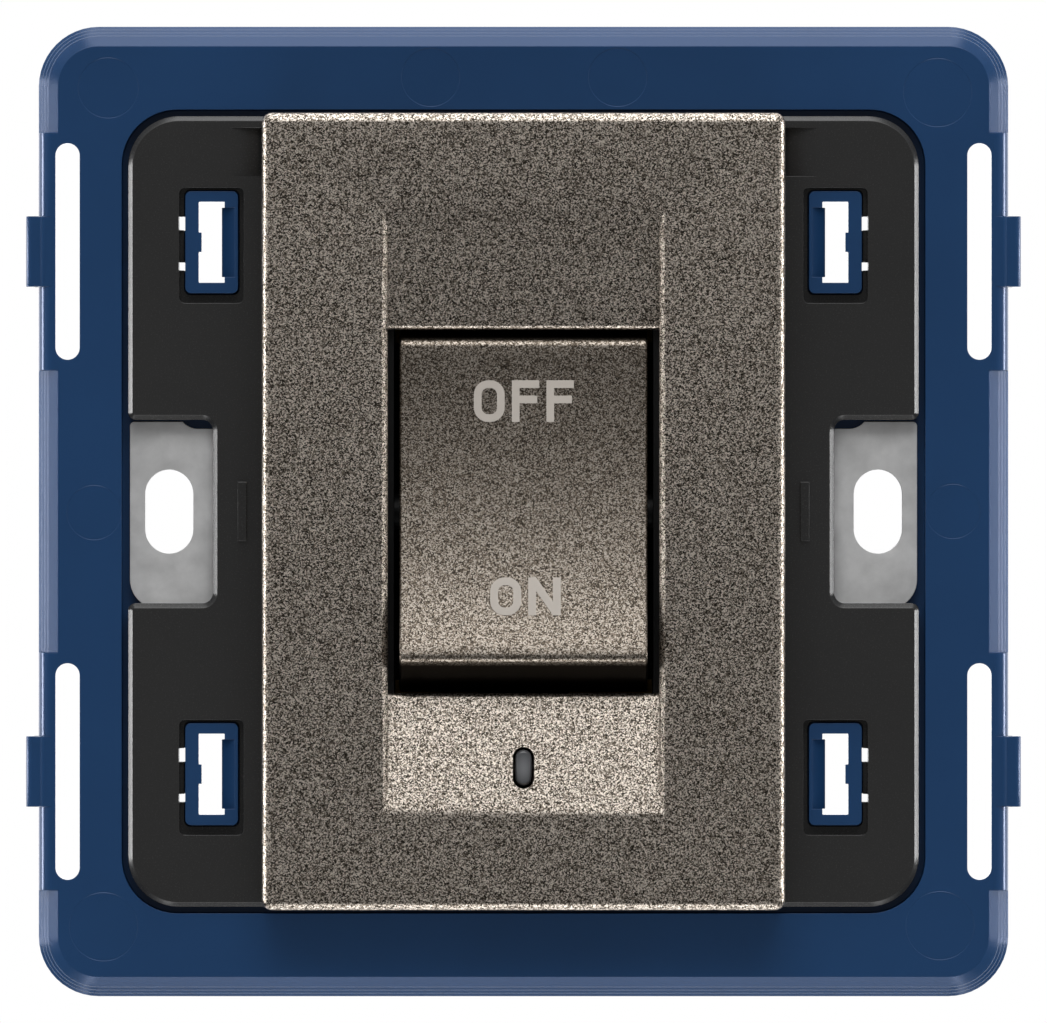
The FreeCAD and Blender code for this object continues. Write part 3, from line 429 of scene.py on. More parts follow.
@dataclass(frozen=True)
class Spot:
    """Where a point, edge or face of a mesh lies, in millimetres, and where it faces."""

    low: Vector
    high: Vector
    normal: Vector

    def on(self, **levels: float) -> bool:
        """Tell whether it lies flat on every given level of x, y or z, in millimetres."""
        return all(abs(end["xyz".index(axis)] - level) < NEAR_MM
                   for axis, level in levels.items() for end in (self.low, self.high))

    def within(self, **halves: float) -> bool:
        """Tell whether it lies between minus and plus each given half size, in millimetres."""
        return all(self.low["xyz".index(axis)] > -half - NEAR_MM
                   and self.high["xyz".index(axis)] < half + NEAR_MM for axis, half in halves.items())

    def along(self, axis: str) -> bool:
        """Tell whether it runs along one axis only.

        Args:
            axis: x, y or z.

        Returns:
            Whether its extent is along that axis and no other.
        """
        extent = self.high - self.low
        i = "xyz".index(axis)
        return extent[i] > NEAR_MM and extent.length - extent[i] < NEAR_MM


def deselect_all() -> None:
    """Leave edit mode and deselect every object."""
    if bpy.context.object and bpy.context.object.mode != "OBJECT":
        bpy.ops.object.mode_set(mode="OBJECT")
    bpy.ops.object.select_all(action="DESELECT")


def make_active(piece: bpy.types.Object) -> None:
    """Select one piece alone and make it active.

    Args:
        piece: the piece to work on.
    """
    deselect_all()
    piece.select_set(True)
    bpy.context.view_layer.objects.active = piece


@dataclass
class Workpiece:
    """A mesh under work. What an operator acts on is chosen by place or normal first."""

    shape: bpy.types.Object

    @classmethod
    def taken(cls, name: str) -> "Workpiece":
        """Take the primitive that was just added, with its place put in its mesh.

        Args:
            name: the piece's name.

        Returns:
            The piece, ready for edit mode.
        """
        shape = bpy.context.object
        shape.name = name
        shape.data.name = name
        bpy.ops.object.transform_apply(location=True, rotation=True, scale=True)
        return cls(shape)

    @classmethod
    def cube(cls, name: str, low: Point, high: Point) -> "Workpiece":
        """Add a cube between two corners, as a start.

        Args:
            name: the piece's name.
            low: its lowest corner in millimetres.
            high: its highest corner in millimetres.

        Returns:
            The piece.
        """
        deselect_all()
        middle = (Vector(low) + Vector(high)) / 2 * MM
        bpy.ops.mesh.primitive_cube_add(size=1.0, location=middle, scale=(Vector(high) - Vector(low)) * MM)
        return cls.taken(name)

    @classmethod
    def disc(cls, name: str, radius: float, depth: float, middle: Point, sides: int = 32) -> "Workpiece":
        """Add a cylinder that faces the room, as a start.

        Args:
            name: the piece's name.
            radius: its radius in millimetres.
            depth: its length in millimetres.
            middle: its middle in millimetres.
            sides: how many sides it has.

        Returns:
            The piece.
        """
        deselect_all()
        bpy.ops.mesh.primitive_cylinder_add(vertices=sides, radius=radius * MM, depth=depth * MM,
                                            location=Vector(middle) * MM,
                                            rotation=(math.radians(90), 0.0, 0.0))
        return cls.taken(name)

    @classmethod
    def card(cls, name: str, low: tuple[float, float], high: tuple[float, float], y: float) -> "Workpiece":
        """Add one flat face that looks at the room, as a start.

        Args:
            name: the piece's name.
            low: its lowest x and z in millimetres.
            high: its highest x and z in millimetres.
            y: its depth in millimetres.

        Returns:
            The piece.
        """
        deselect_all()
        middle = Vector(((low[0] + high[0]) / 2, y, (low[1] + high[1]) / 2)) * MM
        bpy.ops.mesh.primitive_plane_add(size=1.0, location=middle, rotation=(math.radians(90), 0.0, 0.0))
        bpy.context.object.scale = ((high[0] - low[0]) * MM, (high[1] - low[1]) * MM, 1.0)
        return cls.taken(name)

    def edit(self, kind: Kind) -> None:
        """Enter edit mode for one kind of element.

        Args:
            kind: the kind to select.
        """
        if self.shape.mode != "EDIT":
            make_active(self.shape)
            bpy.ops.object.mode_set(mode="EDIT")
        bpy.ops.mesh.select_mode(type=kind.value)

    def all(self, kind: Kind = Kind.POINTS) -> "Workpiece":
        """Select the whole mesh.

        Args:
            kind: the kind to select.

        Returns:
            This piece.
        """
        self.edit(kind)
        bpy.ops.mesh.select_all(action="SELECT")
        return self

    def choose(self, kind: Kind, test: Callable[[Spot], bool]) -> "Workpiece":
        """Select the points, edges or faces that pass a test of their place.

        Args:
            kind: the kind to select.
            test: tells for one spot whether it is wanted.

        Returns:
            This piece.
        """
        self.edit(kind)
        bpy.ops.mesh.select_all(action="DESELECT")
        mesh = bmesh.from_edit_mesh(self.shape.data)
        mesh.normal_update()
        pool = {Kind.POINTS: mesh.verts, Kind.EDGES: mesh.edges, Kind.FACES: mesh.faces}[kind]
        count = 0
        for item in pool:
            points = [item.co] if kind is Kind.POINTS else [v.co for v in item.verts]
            if kind is Kind.EDGES:
                normal = sum((face.normal for face in item.link_faces), Vector())
            else:
                normal = item.normal
            spot = Spot(Vector([min(p[i] for p in points) for i in range(3)]) / MM,
                        Vector([max(p[i] for p in points) for i in range(3)]) / MM, normal)
            if test(spot):
                item.select_set(True)
                count += 1
        mesh.select_flush_mode()
        bmesh.update_edit_mesh(self.shape.data)
        if not count:
            raise ValueError(f"nothing was chosen on {self.shape.name}")
        return self

    def mark(self, name: str, test: Callable[[Spot], bool]) -> "Workpiece":
        """Give every point an attribute that is one where the point passes a test, and nought elsewhere.

        Args:
            name: the attribute's name.
            test: tells for one spot whether it is marked.

        Returns:
            This piece.
        """
        deselect_all()
        marks = self.shape.data.attributes.new(name, "FLOAT", "POINT")
        for point, mark in zip(self.shape.data.vertices, marks.data):
            place = point.co / MM
            mark.value = float(test(Spot(place, place, point.normal)))
        return self

    def split(self, through: Point, facing: Point, keep_inner: bool = False) -> "Workpiece":
        """Cut the whole mesh along a plane.

        Args:
            through: a point of the plane in millimetres.
            facing: the plane's normal.
            keep_inner: whether what lies on the normal's side goes and the cut is filled.

        Returns:
            This piece.
        """
        self.all()
        bpy.ops.mesh.bisect(plane_co=Vector(through) * MM, plane_no=Vector(facing).normalized(),
                            use_fill=keep_inner, clear_outer=keep_inner, threshold=NEAR_MM / 20 * MM)
        return self

    def push(self, by: Point) -> "Workpiece":
        """Extrude what is chosen, by a way in millimetres."""
        bpy.ops.mesh.extrude_region_move(TRANSFORM_OT_translate={"value": Vector(by) * MM})
        return self

    def shift(self, by: Point) -> "Workpiece":
        """Move what is chosen, by a way in millimetres."""
        bpy.ops.transform.translate(value=Vector(by) * MM)
        return self

    def swell(self, shares: Point, centre: Point) -> "Workpiece":
        """Scale what is chosen along each axis, about a point in millimetres."""
        bpy.ops.transform.resize(value=shares, center_override=Vector(centre) * MM)
        return self

    def tip(self, degrees: float, centre: Point) -> "Workpiece":
        """Turn what is chosen about an axis along X, positive towards the room at the top."""
        bpy.ops.transform.rotate(value=-math.radians(degrees), orient_axis="X", orient_type="GLOBAL",
                                 center_override=Vector(centre) * MM)
        return self

    def inset(self, width: float, depth: float = 0.0) -> "Workpiece":
        """Inset the chosen faces by a border, and raise their inner part by a depth."""
        bpy.ops.mesh.inset(thickness=width * MM, depth=depth * MM, use_even_offset=True)
        return self

    def round_off(self, width: float, segments: int, points: bool = False,
                  profile: float = 0.5) -> "Workpiece":
        """Bevel the chosen edges, or points in their plane. A profile under one half is flatter."""
        bpy.ops.mesh.bevel(offset=width * MM, offset_type="OFFSET", segments=segments, profile=profile,
                           affect="VERTICES" if points else "EDGES", clamp_overlap=True)
        return self

    def sweep(self, degrees: float, steps: int, centre: Point) -> "Workpiece":
        """Spin the chosen edges in steps through an angle, about an axis along X."""
        bpy.ops.mesh.spin(steps=steps, angle=-math.radians(degrees), center=Vector(centre) * MM,
                          axis=Axis.RIGHT.value)
        return self

    def drop(self, kind: Kind = Kind.FACES) -> "Workpiece":
        """Delete what is chosen, as one kind of element."""
        bpy.ops.mesh.delete(type=kind.value)
        return self

    def fill(self) -> "Workpiece":
        """Close the chosen loop with one face."""
        bpy.ops.mesh.edge_face_add()
        return self

    def tidy(self) -> "Workpiece":
        """Merge doubles and turn every face outwards.

        Returns:
            This piece.
        """
        self.all()
        bpy.ops.mesh.remove_doubles(threshold=NEAR_MM / 2 * MM)
        bpy.ops.mesh.normals_make_consistent(inside=False)
        return self

    def apply(self, kind: str, **settings) -> "Workpiece":
        """Add one modifier and apply it.

        Args:
            kind: the modifier's type.
            **settings: its properties.

        Returns:
            This piece.
        """
        make_active(self.shape)
        modifier = self.shape.modifiers.new(kind.lower(), kind)
        for name, value in settings.items():
            setattr(modifier, name, value)
        bpy.ops.object.modifier_apply(modifier=modifier.name)
        return self

    def without(self, cutter: "Workpiece") -> "Workpiece":
        """Cut another piece's form out of this one and delete that piece.

        Args:
            cutter: the piece to cut with.

        Returns:
            This piece.
        """
        cutter.tidy()
        self.apply("BOOLEAN", operation="DIFFERENCE", solver="EXACT", object=cutter.shape)
        bpy.data.objects.remove(cutter.shape)
        return self

    def joined(self, others: list["Workpiece"]) -> "Workpiece":
        """Join other pieces to this one's mesh.

        Args:
            others: the pieces that become part of this one.

        Returns:
            This piece.
        """
        make_active(self.shape)
        for other in others:
            other.shape.select_set(True)
        bpy.ops.object.join()
        return self

    def smooth(self, degrees: float = 35.0) -> "Workpiece":
        """Shade it smoothly across its rounds while its flat faces stay flat.

        Args:
            degrees: edges that turn more than this stay sharp.

        Returns:
            This piece.
        """
        make_active(self.shape)
        bpy.ops.object.shade_smooth_by_angle(angle=math.radians(degrees))
        return self.apply("WEIGHTED_NORMAL", keep_sharp=True)


def copy_of_node(name: str) -> Workpiece:
    """Copy a node's mesh to a new piece whose loose triangles are merged to one surface.

    Args:
        name: the node to copy.

    Returns:
        The new piece, with flat regions as single faces.
    """
    shape = bpy.data.objects.new(name + "_shown", bpy.data.objects[name].data.copy())
    shape.data.materials.clear()
    bpy.context.scene.collection.objects.link(shape)
    piece = Workpiece(shape).all()
    bpy.ops.mesh.remove_doubles(threshold=NEAR_MM / 2 * MM)
    bpy.ops.mesh.dissolve_limited(angle_limit=math.radians(FLAT_DEGREES), delimit={"NORMAL"})
    return piece


def dress(piece: bpy.types.Object, shade: Shade) -> None:
    """Give a piece one finish all over."""
    piece.data.materials.clear()
    piece.data.materials.append(shade.material)


def settle(piece: Workpiece, body: str, shade: Shade, *nodes: str) -> None:
    """Dress a new piece, put it on its body and let it stand for its nodes.

    Args:
        piece: the new piece.
        body: the body that it moves with.
        shade: its finish.
        *nodes: the nodes that it stands for.
    """
    shape = piece.shape
    deselect_all()
    dress(shape, shade)
    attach(shape, body)
    if nodes:
        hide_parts(*nodes)
    log.info("%s on %s: %d faces", shape.name, body, len(shape.data.polygons))


def box_mm(node: str) -> tuple[Vector, Vector]:
    """Lowest and highest corner of a node at rest, in millimetres."""
    low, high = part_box(node)
    return low / MM, high / MM


@dataclass
class Bezel:
    """The painted front moulding: rounded outside, with the sunk field that the key and lens sit in."""

    edge: float = 0.85
    edge_flatness: float = 0.5
    field_half_x: float = 11.5
    field_half_z: float = 25.8
    field_corner: float = 1.0
    field_round: float = 0.5
    field_turn: tuple[float, float] = (36.0, 54.0)
    field_depth: float = 2.6
    mouth_half_z: float = 15.4
    mouth_round: float = 0.42
    skin: float = 1.7
    wall: float = 1.85
    floor_skin: float = 1.4
    lens_hole: tuple[float, float] = (1.82, 3.52)
    lens_hole_sides: int = 48
    past: float = 3.0
    steps: int = 5
    floor_facing: float = 0.99

    def block(self) -> Workpiece:
        """Make the outer block with its upright corners and its front edges rounded.

        Returns:
            The block.
        """
        low, high = box_mm("front_bezel")
        block = Workpiece.cube("bezel", low, high)
        block.choose(Kind.EDGES, lambda s: s.along("y") or s.on(y=low.y))
        return block.round_off(self.edge, self.steps, profile=self.edge_flatness)

    def field(self) -> Workpiece:
        """Make the form of the sunk field: a round mouth, sloping ends and the way through for the key.

        Returns:
            The form to cut with.
        """
        front = box_mm("front_bezel")[0].y
        floor = front + self.field_depth
        straight = front + self.field_round
        x, z = self.field_half_x, self.field_half_z
        form = Workpiece.cube("field", (-x, straight, -z), (x, floor, z))
        form.choose(Kind.EDGES, lambda s: s.along("y")).round_off(self.field_corner, self.steps)
        reached, grown = 0.0, 0.0
        first, last = (math.radians(end) for end in self.field_turn)
        size = self.field_round / (math.sin(last) - math.sin(first))
        for step in range(1, self.steps + 1):
            turn = first + (last - first) * step / self.steps
            rise = size * (math.sin(turn) - math.sin(first))
            spread = size * (math.cos(first) - math.cos(turn))
            level = straight - reached
            form.choose(Kind.FACES, lambda s: s.on(y=level)).push((0.0, reached - rise, 0.0))
            form.swell(((x + spread) / (x + grown), 1.0, (z + spread) / (z + grown)), (0.0, level, 0.0))
            reached, grown = rise, spread
        form.choose(Kind.FACES, lambda s: s.on(y=front)).push((0.0, -self.past, 0.0))
        run = z - self.mouth_half_z
        for side in (-1, 1):
            form.split((0.0, front, side * z), (0.0, run, side * self.field_depth), keep_inner=True)
        for side in (-1, 1):
            form.split((0.0, floor, side * self.mouth_half_z), Axis.UP.value)
        form.choose(Kind.FACES, lambda s: s.normal.y > self.floor_facing and s.within(z=self.mouth_half_z))
        form.push((0.0, 2 * self.past, 0.0))
        form.choose(Kind.EDGES, lambda s: s.along("x") and s.on(y=floor) and s.within(z=self.mouth_half_z))
        return form.round_off(self.mouth_round, self.steps)

    def hollow(self) -> Workpiece:
        """Make the form of the hollow behind the front, which leaves a core round the sunk field.

        Returns:
            The form to cut with.
        """
        low, high = box_mm("front_bezel")
        x, z = high.x - self.wall, high.z - self.wall
        face, core = low.y + self.skin, low.y + self.field_depth + self.floor_skin
        core_x, core_z = self.field_half_x + self.skin, self.field_half_z + self.skin
        form = Workpiece.cube("hollow", (-x, face, -z), (x, high.y + self.past, z))
        for side in (-1, 1):
            form.split((side * core_x, 0.0, 0.0), Axis.RIGHT.value)
            form.split((0.0, 0.0, side * core_z), Axis.UP.value)
        form.choose(Kind.FACES, lambda s: s.on(y=face) and s.within(x=core_x, z=core_z))
        return form.push((0.0, core - face, 0.0))

    def lens_way(self) -> Workpiece:
        """Make the form of the upright slot that the lens shows in.

        Returns:
            The form to cut with.
        """
        width, height = self.lens_hole
        front = box_mm("front_bezel")[0].y
        form = Workpiece.disc("lens_way", width / 2, 4 * self.past, (0.0, front, LENS_Z),
                              self.lens_hole_sides)
        for side in (-1, 1):
            form.choose(Kind.POINTS, lambda s: side * (s.low.z - LENS_Z) > NEAR_MM)
            form.shift((0.0, 0.0, side * (height - width) / 2))
        return form

    def build(self) -> None:
        """Make the bezel and let it stand for its node."""
        bezel = self.block().without(self.hollow()).without(self.field()).without(self.lens_way())
        settle(bezel.smooth(), "frame", Shade.LACQUER, "front_bezel")


@dataclass
class Key:
    """The painted key: a dished front between two narrow lips, and ends that follow the pivot."""

    tilt: float = -7.5
    lip_half: float = 13.6
    lip_forward: float = 7.5
    dish: float = 80.0
    dish_steps: int = 28
    band: float = 0.5
    band_drop: float = 0.10
    end_steps: int = 8
    back: float = 0.6
    edge: float = 0.27
    edge_steps: int = 4
    side_edge: float = 0.22
    side_edge_steps: int = 3
    wall: float = 1.4
    starting_strip: float = 1.0

    def dish_place(self, pivot: Vector) -> tuple[float, float]:
        """Tell where the dish is, before the key is tilted.

        Args:
            pivot: a point of the rocker's axis, in millimetres.

        Returns:
            The depth of the dish's centre, and the depth of its deepest line.
        """
        half_chord = self.lip_half - self.band
        eye_y = pivot.y - self.lip_forward - math.sqrt(self.dish ** 2 - half_chord ** 2)
        return eye_y, eye_y + self.dish

    def build(self, pivot: Vector) -> None:
        """Make the key and let it stand for its node.

        Args:
            pivot: a point of the rocker's axis, in millimetres.
        """
        half = box_mm("rocker_cap")[1].x
        band_z = self.lip_half - self.band
        band_y = pivot.y - self.lip_forward
        turn = math.degrees(math.asin(band_z / self.dish))
        eye = (0.0, self.dish_place(pivot)[0], 0.0)
        spare_z = -band_z - self.starting_strip
        key = Workpiece.card("key", (-half, spare_z), (half, -band_z), band_y)
        key.choose(Kind.POINTS, lambda s: s.on(z=spare_z)).drop(Kind.POINTS)
        key.choose(Kind.EDGES, lambda s: s.along("x")).sweep(2 * turn, self.dish_steps, eye)
        key.tidy()
        radius = math.hypot(self.lip_half, self.lip_forward)
        lip_y = self.lip_forward - self.band_drop
        lip_z = math.sqrt(radius ** 2 - lip_y ** 2)
        low_z = math.sqrt(radius ** 2 - self.back ** 2)
        sweep = math.degrees(math.atan2(low_z, self.back) - math.atan2(lip_z, lip_y))
        for side in (-1, 1):
            key.choose(Kind.EDGES, lambda s: s.along("x") and s.on(z=side * band_z))
            key.push((0.0, self.band_drop, side * (lip_z - band_z)))
            key.sweep(-side * sweep, self.end_steps, pivot)
        key.tidy()
        for side in (-1, 1):
            key.choose(Kind.EDGES, lambda s: s.on(x=side * half)).fill()
        key.tidy()
        key.choose(Kind.EDGES, lambda s: s.along("x") and s.high.y < band_y + 2 * self.band_drop
                   and abs(s.low.z) > lip_z - NEAR_MM).round_off(self.edge, self.edge_steps)
        key.choose(Kind.EDGES, lambda s: s.on(x=s.low.x) and abs(s.low.x) > half - NEAR_MM
                   and not s.on(y=pivot.y - self.back)).round_off(self.side_edge, self.side_edge_steps)
        # Mark the key's end faces past both lips for painted shade: dark brown stands for the shade they sit
        # in.
        key.mark(PAINTED_END_SHADE, lambda s: abs(s.low.z) > lip_z + self.edge / 2)
        key.apply("SOLIDIFY", thickness=self.wall * MM, offset=-1.0, use_even_offset=True)
        key.all().tip(self.tilt, pivot)
        settle(key.smooth(), "rocker", Shade.KEY_LACQUER, "rocker_cap")


@dataclass
class Lens:
    """The smoked tip of the light guide in the lower slope, standing in its slot with a dark gap round it."""

    width: float = 1.38
    height: float = 3.05
    crown: float = 0.20
    rim: float = 0.30
    rim_steps: int = 3
    smooth_turn: float = 60.0

    def build(self) -> None:
        """Make the lens and let it stand for its node."""
        low, high = box_mm("indicator_lens")
        middle = (0.0, (low.y + high.y) / 2, LENS_Z)
        lens = Workpiece.disc("lens", self.width / 2, high.y - low.y, middle)
        for side in (-1, 1):
            lens.choose(Kind.POINTS, lambda s: side * (s.low.z - LENS_Z) > NEAR_MM)
            lens.shift((0.0, 0.0, side * (self.height - self.width) / 2))
        lens.choose(Kind.FACES, lambda s: s.on(y=low.y)).inset(self.rim, self.crown)
        lens.choose(Kind.EDGES, lambda s: s.on(y=low.y)).round_off(self.rim / 2, self.rim_steps)
        settle(lens.smooth(self.smooth_turn), "frame", Shade.SMOKE_LENS, "indicator_lens")


@dataclass(frozen=True)
class Word:
    """One word on the key: where it stands along the dish, and how large it is."""

    letters: str
    place_z: float
    place_x: float
    height: float


@dataclass
class Lettering:
    """OFF and ON in plain upright letters, pad printed on the key's hollow front."""

    words: tuple = (Word("OFF", 8.53, 0.03, 3.54), Word("ON", -8.15, 0.17, 3.28))
    widths: dict = field(default_factory=lambda: {"O": 2.62, "F": 2.33, "N": 2.75})
    gap: float = 0.60
    stroke: float = 0.66
    bowl: float = 1.22
    bowl_steps: int = 8
    middle_bar: float = 0.54
    short_bar: float = 0.90
    diagonal: float = 1.75
    film: float = 0.05
    sunk: float = 0.03

    def letter_o(self, x: float, height: float) -> Workpiece:
        """Make an O: a plate with round corners and its middle taken out.

        Args:
            x: its left edge in millimetres.
            height: its height.

        Returns:
            The flat letter.
        """
        piece = Workpiece.card("letter", (x, -height / 2), (x + self.widths["O"], height / 2), 0.0)
        piece.all().round_off(self.bowl, self.bowl_steps, points=True)
        piece.all(Kind.FACES).inset(self.stroke)
        middle = x + self.widths["O"] / 2
        within = self.widths["O"] - self.stroke
        return piece.choose(Kind.FACES, lambda s: s.low.x < middle < s.high.x and s.low.z < 0 < s.high.z
                            and s.high.x - s.low.x < within).drop()

    def letter_f(self, x: float, height: float) -> Workpiece:
        """Make an F: a stem whose side is drawn out to two bars.

        Args:
            x: its left edge in millimetres.
            height: its height.

        Returns:
            The flat letter.
        """
        top = height / 2
        right = x + self.stroke
        reach = self.widths["F"] - self.stroke
        middle = height * self.middle_bar - height / 2
        piece = Workpiece.card("letter", (x, -top), (right, top), 0.0)
        for level in (top - self.stroke, middle + self.stroke / 2, middle - self.stroke / 2):
            piece.split((0.0, 0.0, level), Axis.UP.value)
        piece.choose(Kind.EDGES, lambda s: s.on(x=right) and s.low.z > top - self.stroke - NEAR_MM)
        piece.push((reach, 0.0, 0.0))
        piece.choose(Kind.EDGES, lambda s: s.on(x=right) and abs((s.low.z + s.high.z) / 2 - middle) < NEAR_MM)
        return piece.push((reach * self.short_bar, 0.0, 0.0))

    def letter_n(self, x: float, height: float) -> Workpiece:
        """Make an N: two stems with a diagonal bridged between them.

        Args:
            x: its left edge in millimetres.
            height: its height.

        Returns:
            The flat letter.
        """
        top = height / 2
        inner = (x + self.stroke, x + self.widths["N"] - self.stroke)
        cut = self.stroke * self.diagonal
        left = Workpiece.card("letter", (x, -top), (inner[0], top), 0.0)
        left.split((0.0, 0.0, top - cut), Axis.UP.value)
        right = Workpiece.card("stem", (inner[1], -top), (x + self.widths["N"], top), 0.0)
        right.split((0.0, 0.0, cut - top), Axis.UP.value)
        left.joined([right])
        left.choose(Kind.EDGES, lambda s: (s.on(x=inner[0]) and s.low.z > top - cut - NEAR_MM)
                    or (s.on(x=inner[1]) and s.high.z < cut - top + NEAR_MM))
        bpy.ops.mesh.bridge_edge_loops()
        return left

    def build(self, key: Key, pivot: Vector) -> None:
        """Make both words and let them ride on the rocker.

        Args:
            key: the key that carries them.
            pivot: a point of the rocker's axis, in millimetres.
        """
        eye_y, deepest = key.dish_place(pivot)
        makers = {"O": self.letter_o, "F": self.letter_f, "N": self.letter_n}
        for word in self.words:
            total = sum(self.widths[c] for c in word.letters) + self.gap * (len(word.letters) - 1)
            x = word.place_x - total / 2
            pieces = []
            for letter in word.letters:
                pieces.append(makers[letter](x, word.height))
                x += self.widths[letter] + self.gap
            piece = pieces[0].joined(pieces[1:]).tidy()
            piece.shape.name = "print_" + word.letters.lower()
            piece.all().shift((0.0, deepest + self.sunk, 0.0))
            piece.all(Kind.FACES).push((0.0, -self.film - self.sunk, 0.0))
            piece.tidy()
            piece.all().tip(math.degrees(math.asin(word.place_z / key.dish)), (0.0, eye_y, 0.0))
            piece.all().tip(key.tilt, pivot)
            settle(piece, "rocker", Shade.INK)


@dataclass
class Moulding:
    """A moulding or a pressing whose form the frame already has, with its edges broken.

    The widths aren't clamped, because one very short edge would then narrow them all.
    """

    node: str
    shade: Shade
    edge: float
    turn: float = 30.0
    steps: int = 4

    def before(self, piece: Workpiece) -> None:
        """Shape the copy before its edges are broken. A plain moulding needs nothing."""

    def after(self, piece: Workpiece) -> None:
        """Shape the copy after its edges are broken. A plain moulding needs nothing."""

    def build(self) -> None:
        """Make the softened copy and let it stand for its node."""
        piece = copy_of_node(self.node)
        self.before(piece)
        piece.apply("BEVEL", width=self.edge * MM, segments=self.steps, limit_method="ANGLE",
                    angle_limit=math.radians(self.turn), use_clamp_overlap=False)
        self.after(piece)
        settle(piece.smooth(self.turn), "frame", self.shade, self.node)


@dataclass(frozen=True)
class Mark:
    """One round mark that an ejector pin of the tool left on the ring, in millimetres."""

    x: float
    z: float
    radius: float


@dataclass
class Carrier(Moulding):
    """The blue ring: the wide rounds on its latch beams, and its shallow ejector marks."""

    node: str = "plate_carrier"
    shade: Shade = Shade.BLUE_ABS
    edge: float = 0.05
    half: float = 41.25
    front: float = -3.6
    beam_round: float = 1.3
    beam_steps: int = 8
    beam_runs: tuple = ((11.97, 19.13), (25.07, 32.23))
    skim: float = 0.002
    past: float = 0.3
    marks: tuple = (Mark(-35.3, 36.0, 2.64), Mark(35.2, 35.6, 2.98), Mark(35.4, -35.2, 2.98),
                    Mark(-35.7, -35.3, 2.98), Mark(-7.9, 36.9, 2.56), Mark(8.0, 36.9, 2.56),
                    Mark(-36.5, -0.1, 2.39), Mark(36.5, 0.0, 2.39))
    mark_depth: float = 0.032
    mark_slope: float = 0.05
    mark_sides: int = 64
    slope_facing: tuple[float, float] = (-0.95, -0.5)

    def beam_sliver(self, side: int, low: float, high: float) -> Workpiece:
        """Make the form that takes one length of a latch beam's outer edge off to a wide round.

        Args:
            side: one for the right beam, minus one for the left.
            low: where the length starts along Z, in millimetres.
            high: where it ends.

        Returns:
            The form to cut with.
        """
        edge = side * self.half
        left, right = sorted((edge - side * self.beam_round, edge + side * self.past))
        sliver = Workpiece.cube("sliver", (left, self.front - self.past, low),
                                (right, self.front + self.beam_round, high))
        left, right = sorted((0.0, edge + side * self.skim))
        bar = Workpiece.cube("bar", (left, self.front - self.skim, low - self.past),
                             (right, self.front + 2 * self.beam_round, high + self.past))
        bar.choose(Kind.EDGES, lambda s: s.on(x=edge, y=self.front))
        bar.round_off(self.beam_round, self.beam_steps)
        return sliver.without(bar)

    def mark_sink(self, mark: Mark) -> Workpiece:
        """Make the form of one ejector mark, with a narrow slope round its floor.

        Args:
            mark: where the mark is, and how wide.

        Returns:
            The form to cut with.
        """
        floor = self.front + self.mark_depth
        share = 1 - 2 * self.mark_slope / mark.radius
        sink = Workpiece.disc("sink", mark.radius, 2 * self.mark_depth, (mark.x, self.front, mark.z),
                              self.mark_sides)
        sink.choose(Kind.FACES, lambda s: s.on(y=floor)).swell((share, 1.0, share), (mark.x, floor, mark.z))
        return sink

    def is_mark_slope(self, spot: Spot) -> bool:
        """Tell whether a face is the narrow slope round an ejector mark.

        Args:
            spot: where the face lies.

        Returns:
            Whether it falls from the ring's front to a mark's floor.
        """
        floor = self.front + self.mark_depth
        least, most = self.slope_facing
        return (abs(spot.low.y - self.front) < NEAR_MM and abs(spot.high.y - floor) < NEAR_MM
                and least < spot.normal.y < most)

    def before(self, piece: Workpiece) -> None:
        """Round the latch beams beside their tabs.

        Args:
            piece: the copy of the node.
        """
        slivers = [self.beam_sliver(side, *sorted((up * low, up * high)))
                   for side in (-1, 1) for up in (1, -1) for low, high in self.beam_runs]
        piece.without(slivers[0].joined(slivers[1:]))

    def after(self, piece: Workpiece) -> None:
        """Sink the ejector marks and keep their rims sharp, so that the slopes catch the light.

        Args:
            piece: the copy of the node.
        """
        sinks = [self.mark_sink(mark) for mark in self.marks]
        piece.without(sinks[0].joined(sinks[1:]))
        piece.choose(Kind.FACES, self.is_mark_slope)
        bpy.ops.mesh.region_to_loop()
        bpy.ops.mesh.mark_sharp()


def mouldings() -> tuple[Moulding, ...]:
    """List the mouldings and the pressed yoke, each with the width of its broken edges.

    Returns:
        The mouldings, from the front to the back.
    """
    return (Carrier(),
            Moulding("support_plate", Shade.BLACK_ABS, 0.04),
            Moulding("fixing_yoke", Shade.STEEL, 0.045),
            # The body is darkened to stand for the shade in the key's side gaps.
            Moulding("mechanism_body", Shade.CHARCOAL_NYLON, 0.05),
            Moulding("rear_case", Shade.DARK_NYLON, 0.08))


@dataclass
class InnerPieces:
    """The pieces that keep the frame's own meshes and only take their finish."""

    shades: dict = field(default_factory=lambda: {
        # The cradle takes the darkened nylon as painted shade in the key's side gaps.
        "rocker_cradle": Shade.DARK_NYLON, "neon_lamp": Shade.LAMP_GLASS, "lamp_leads": Shade.TINNED_WIRE,
        "lamp_resistor": Shade.RESISTOR, "moving_contact": Shade.COPPER, "moving_tip": Shade.SILVER,
        "fixed_contact": Shade.STRIP_BRASS, "fixed_tip": Shade.SILVER, "contact_bracket": Shade.STRIP_BRASS,
        "plunger_spring": Shade.SPRING_STEEL, "plunger": Shade.WHITE_NYLON, "terminal": Shade.TERMINAL_BRASS,
        "screw": Shade.PLATED_STEEL,
    })

    def build(self, nodes: dict) -> None:
        """Dress every node whose name starts with one of the listed kinds.

        Args:
            nodes: the frame's nodes by name.
        """
        for name, node in nodes.items():
            if node.hide_render:
                continue
            kind = max((k for k in self.shades if name.startswith(k)), key=len)
            dress(node, self.shades[kind])
            log.info("%s keeps its own mesh", name)


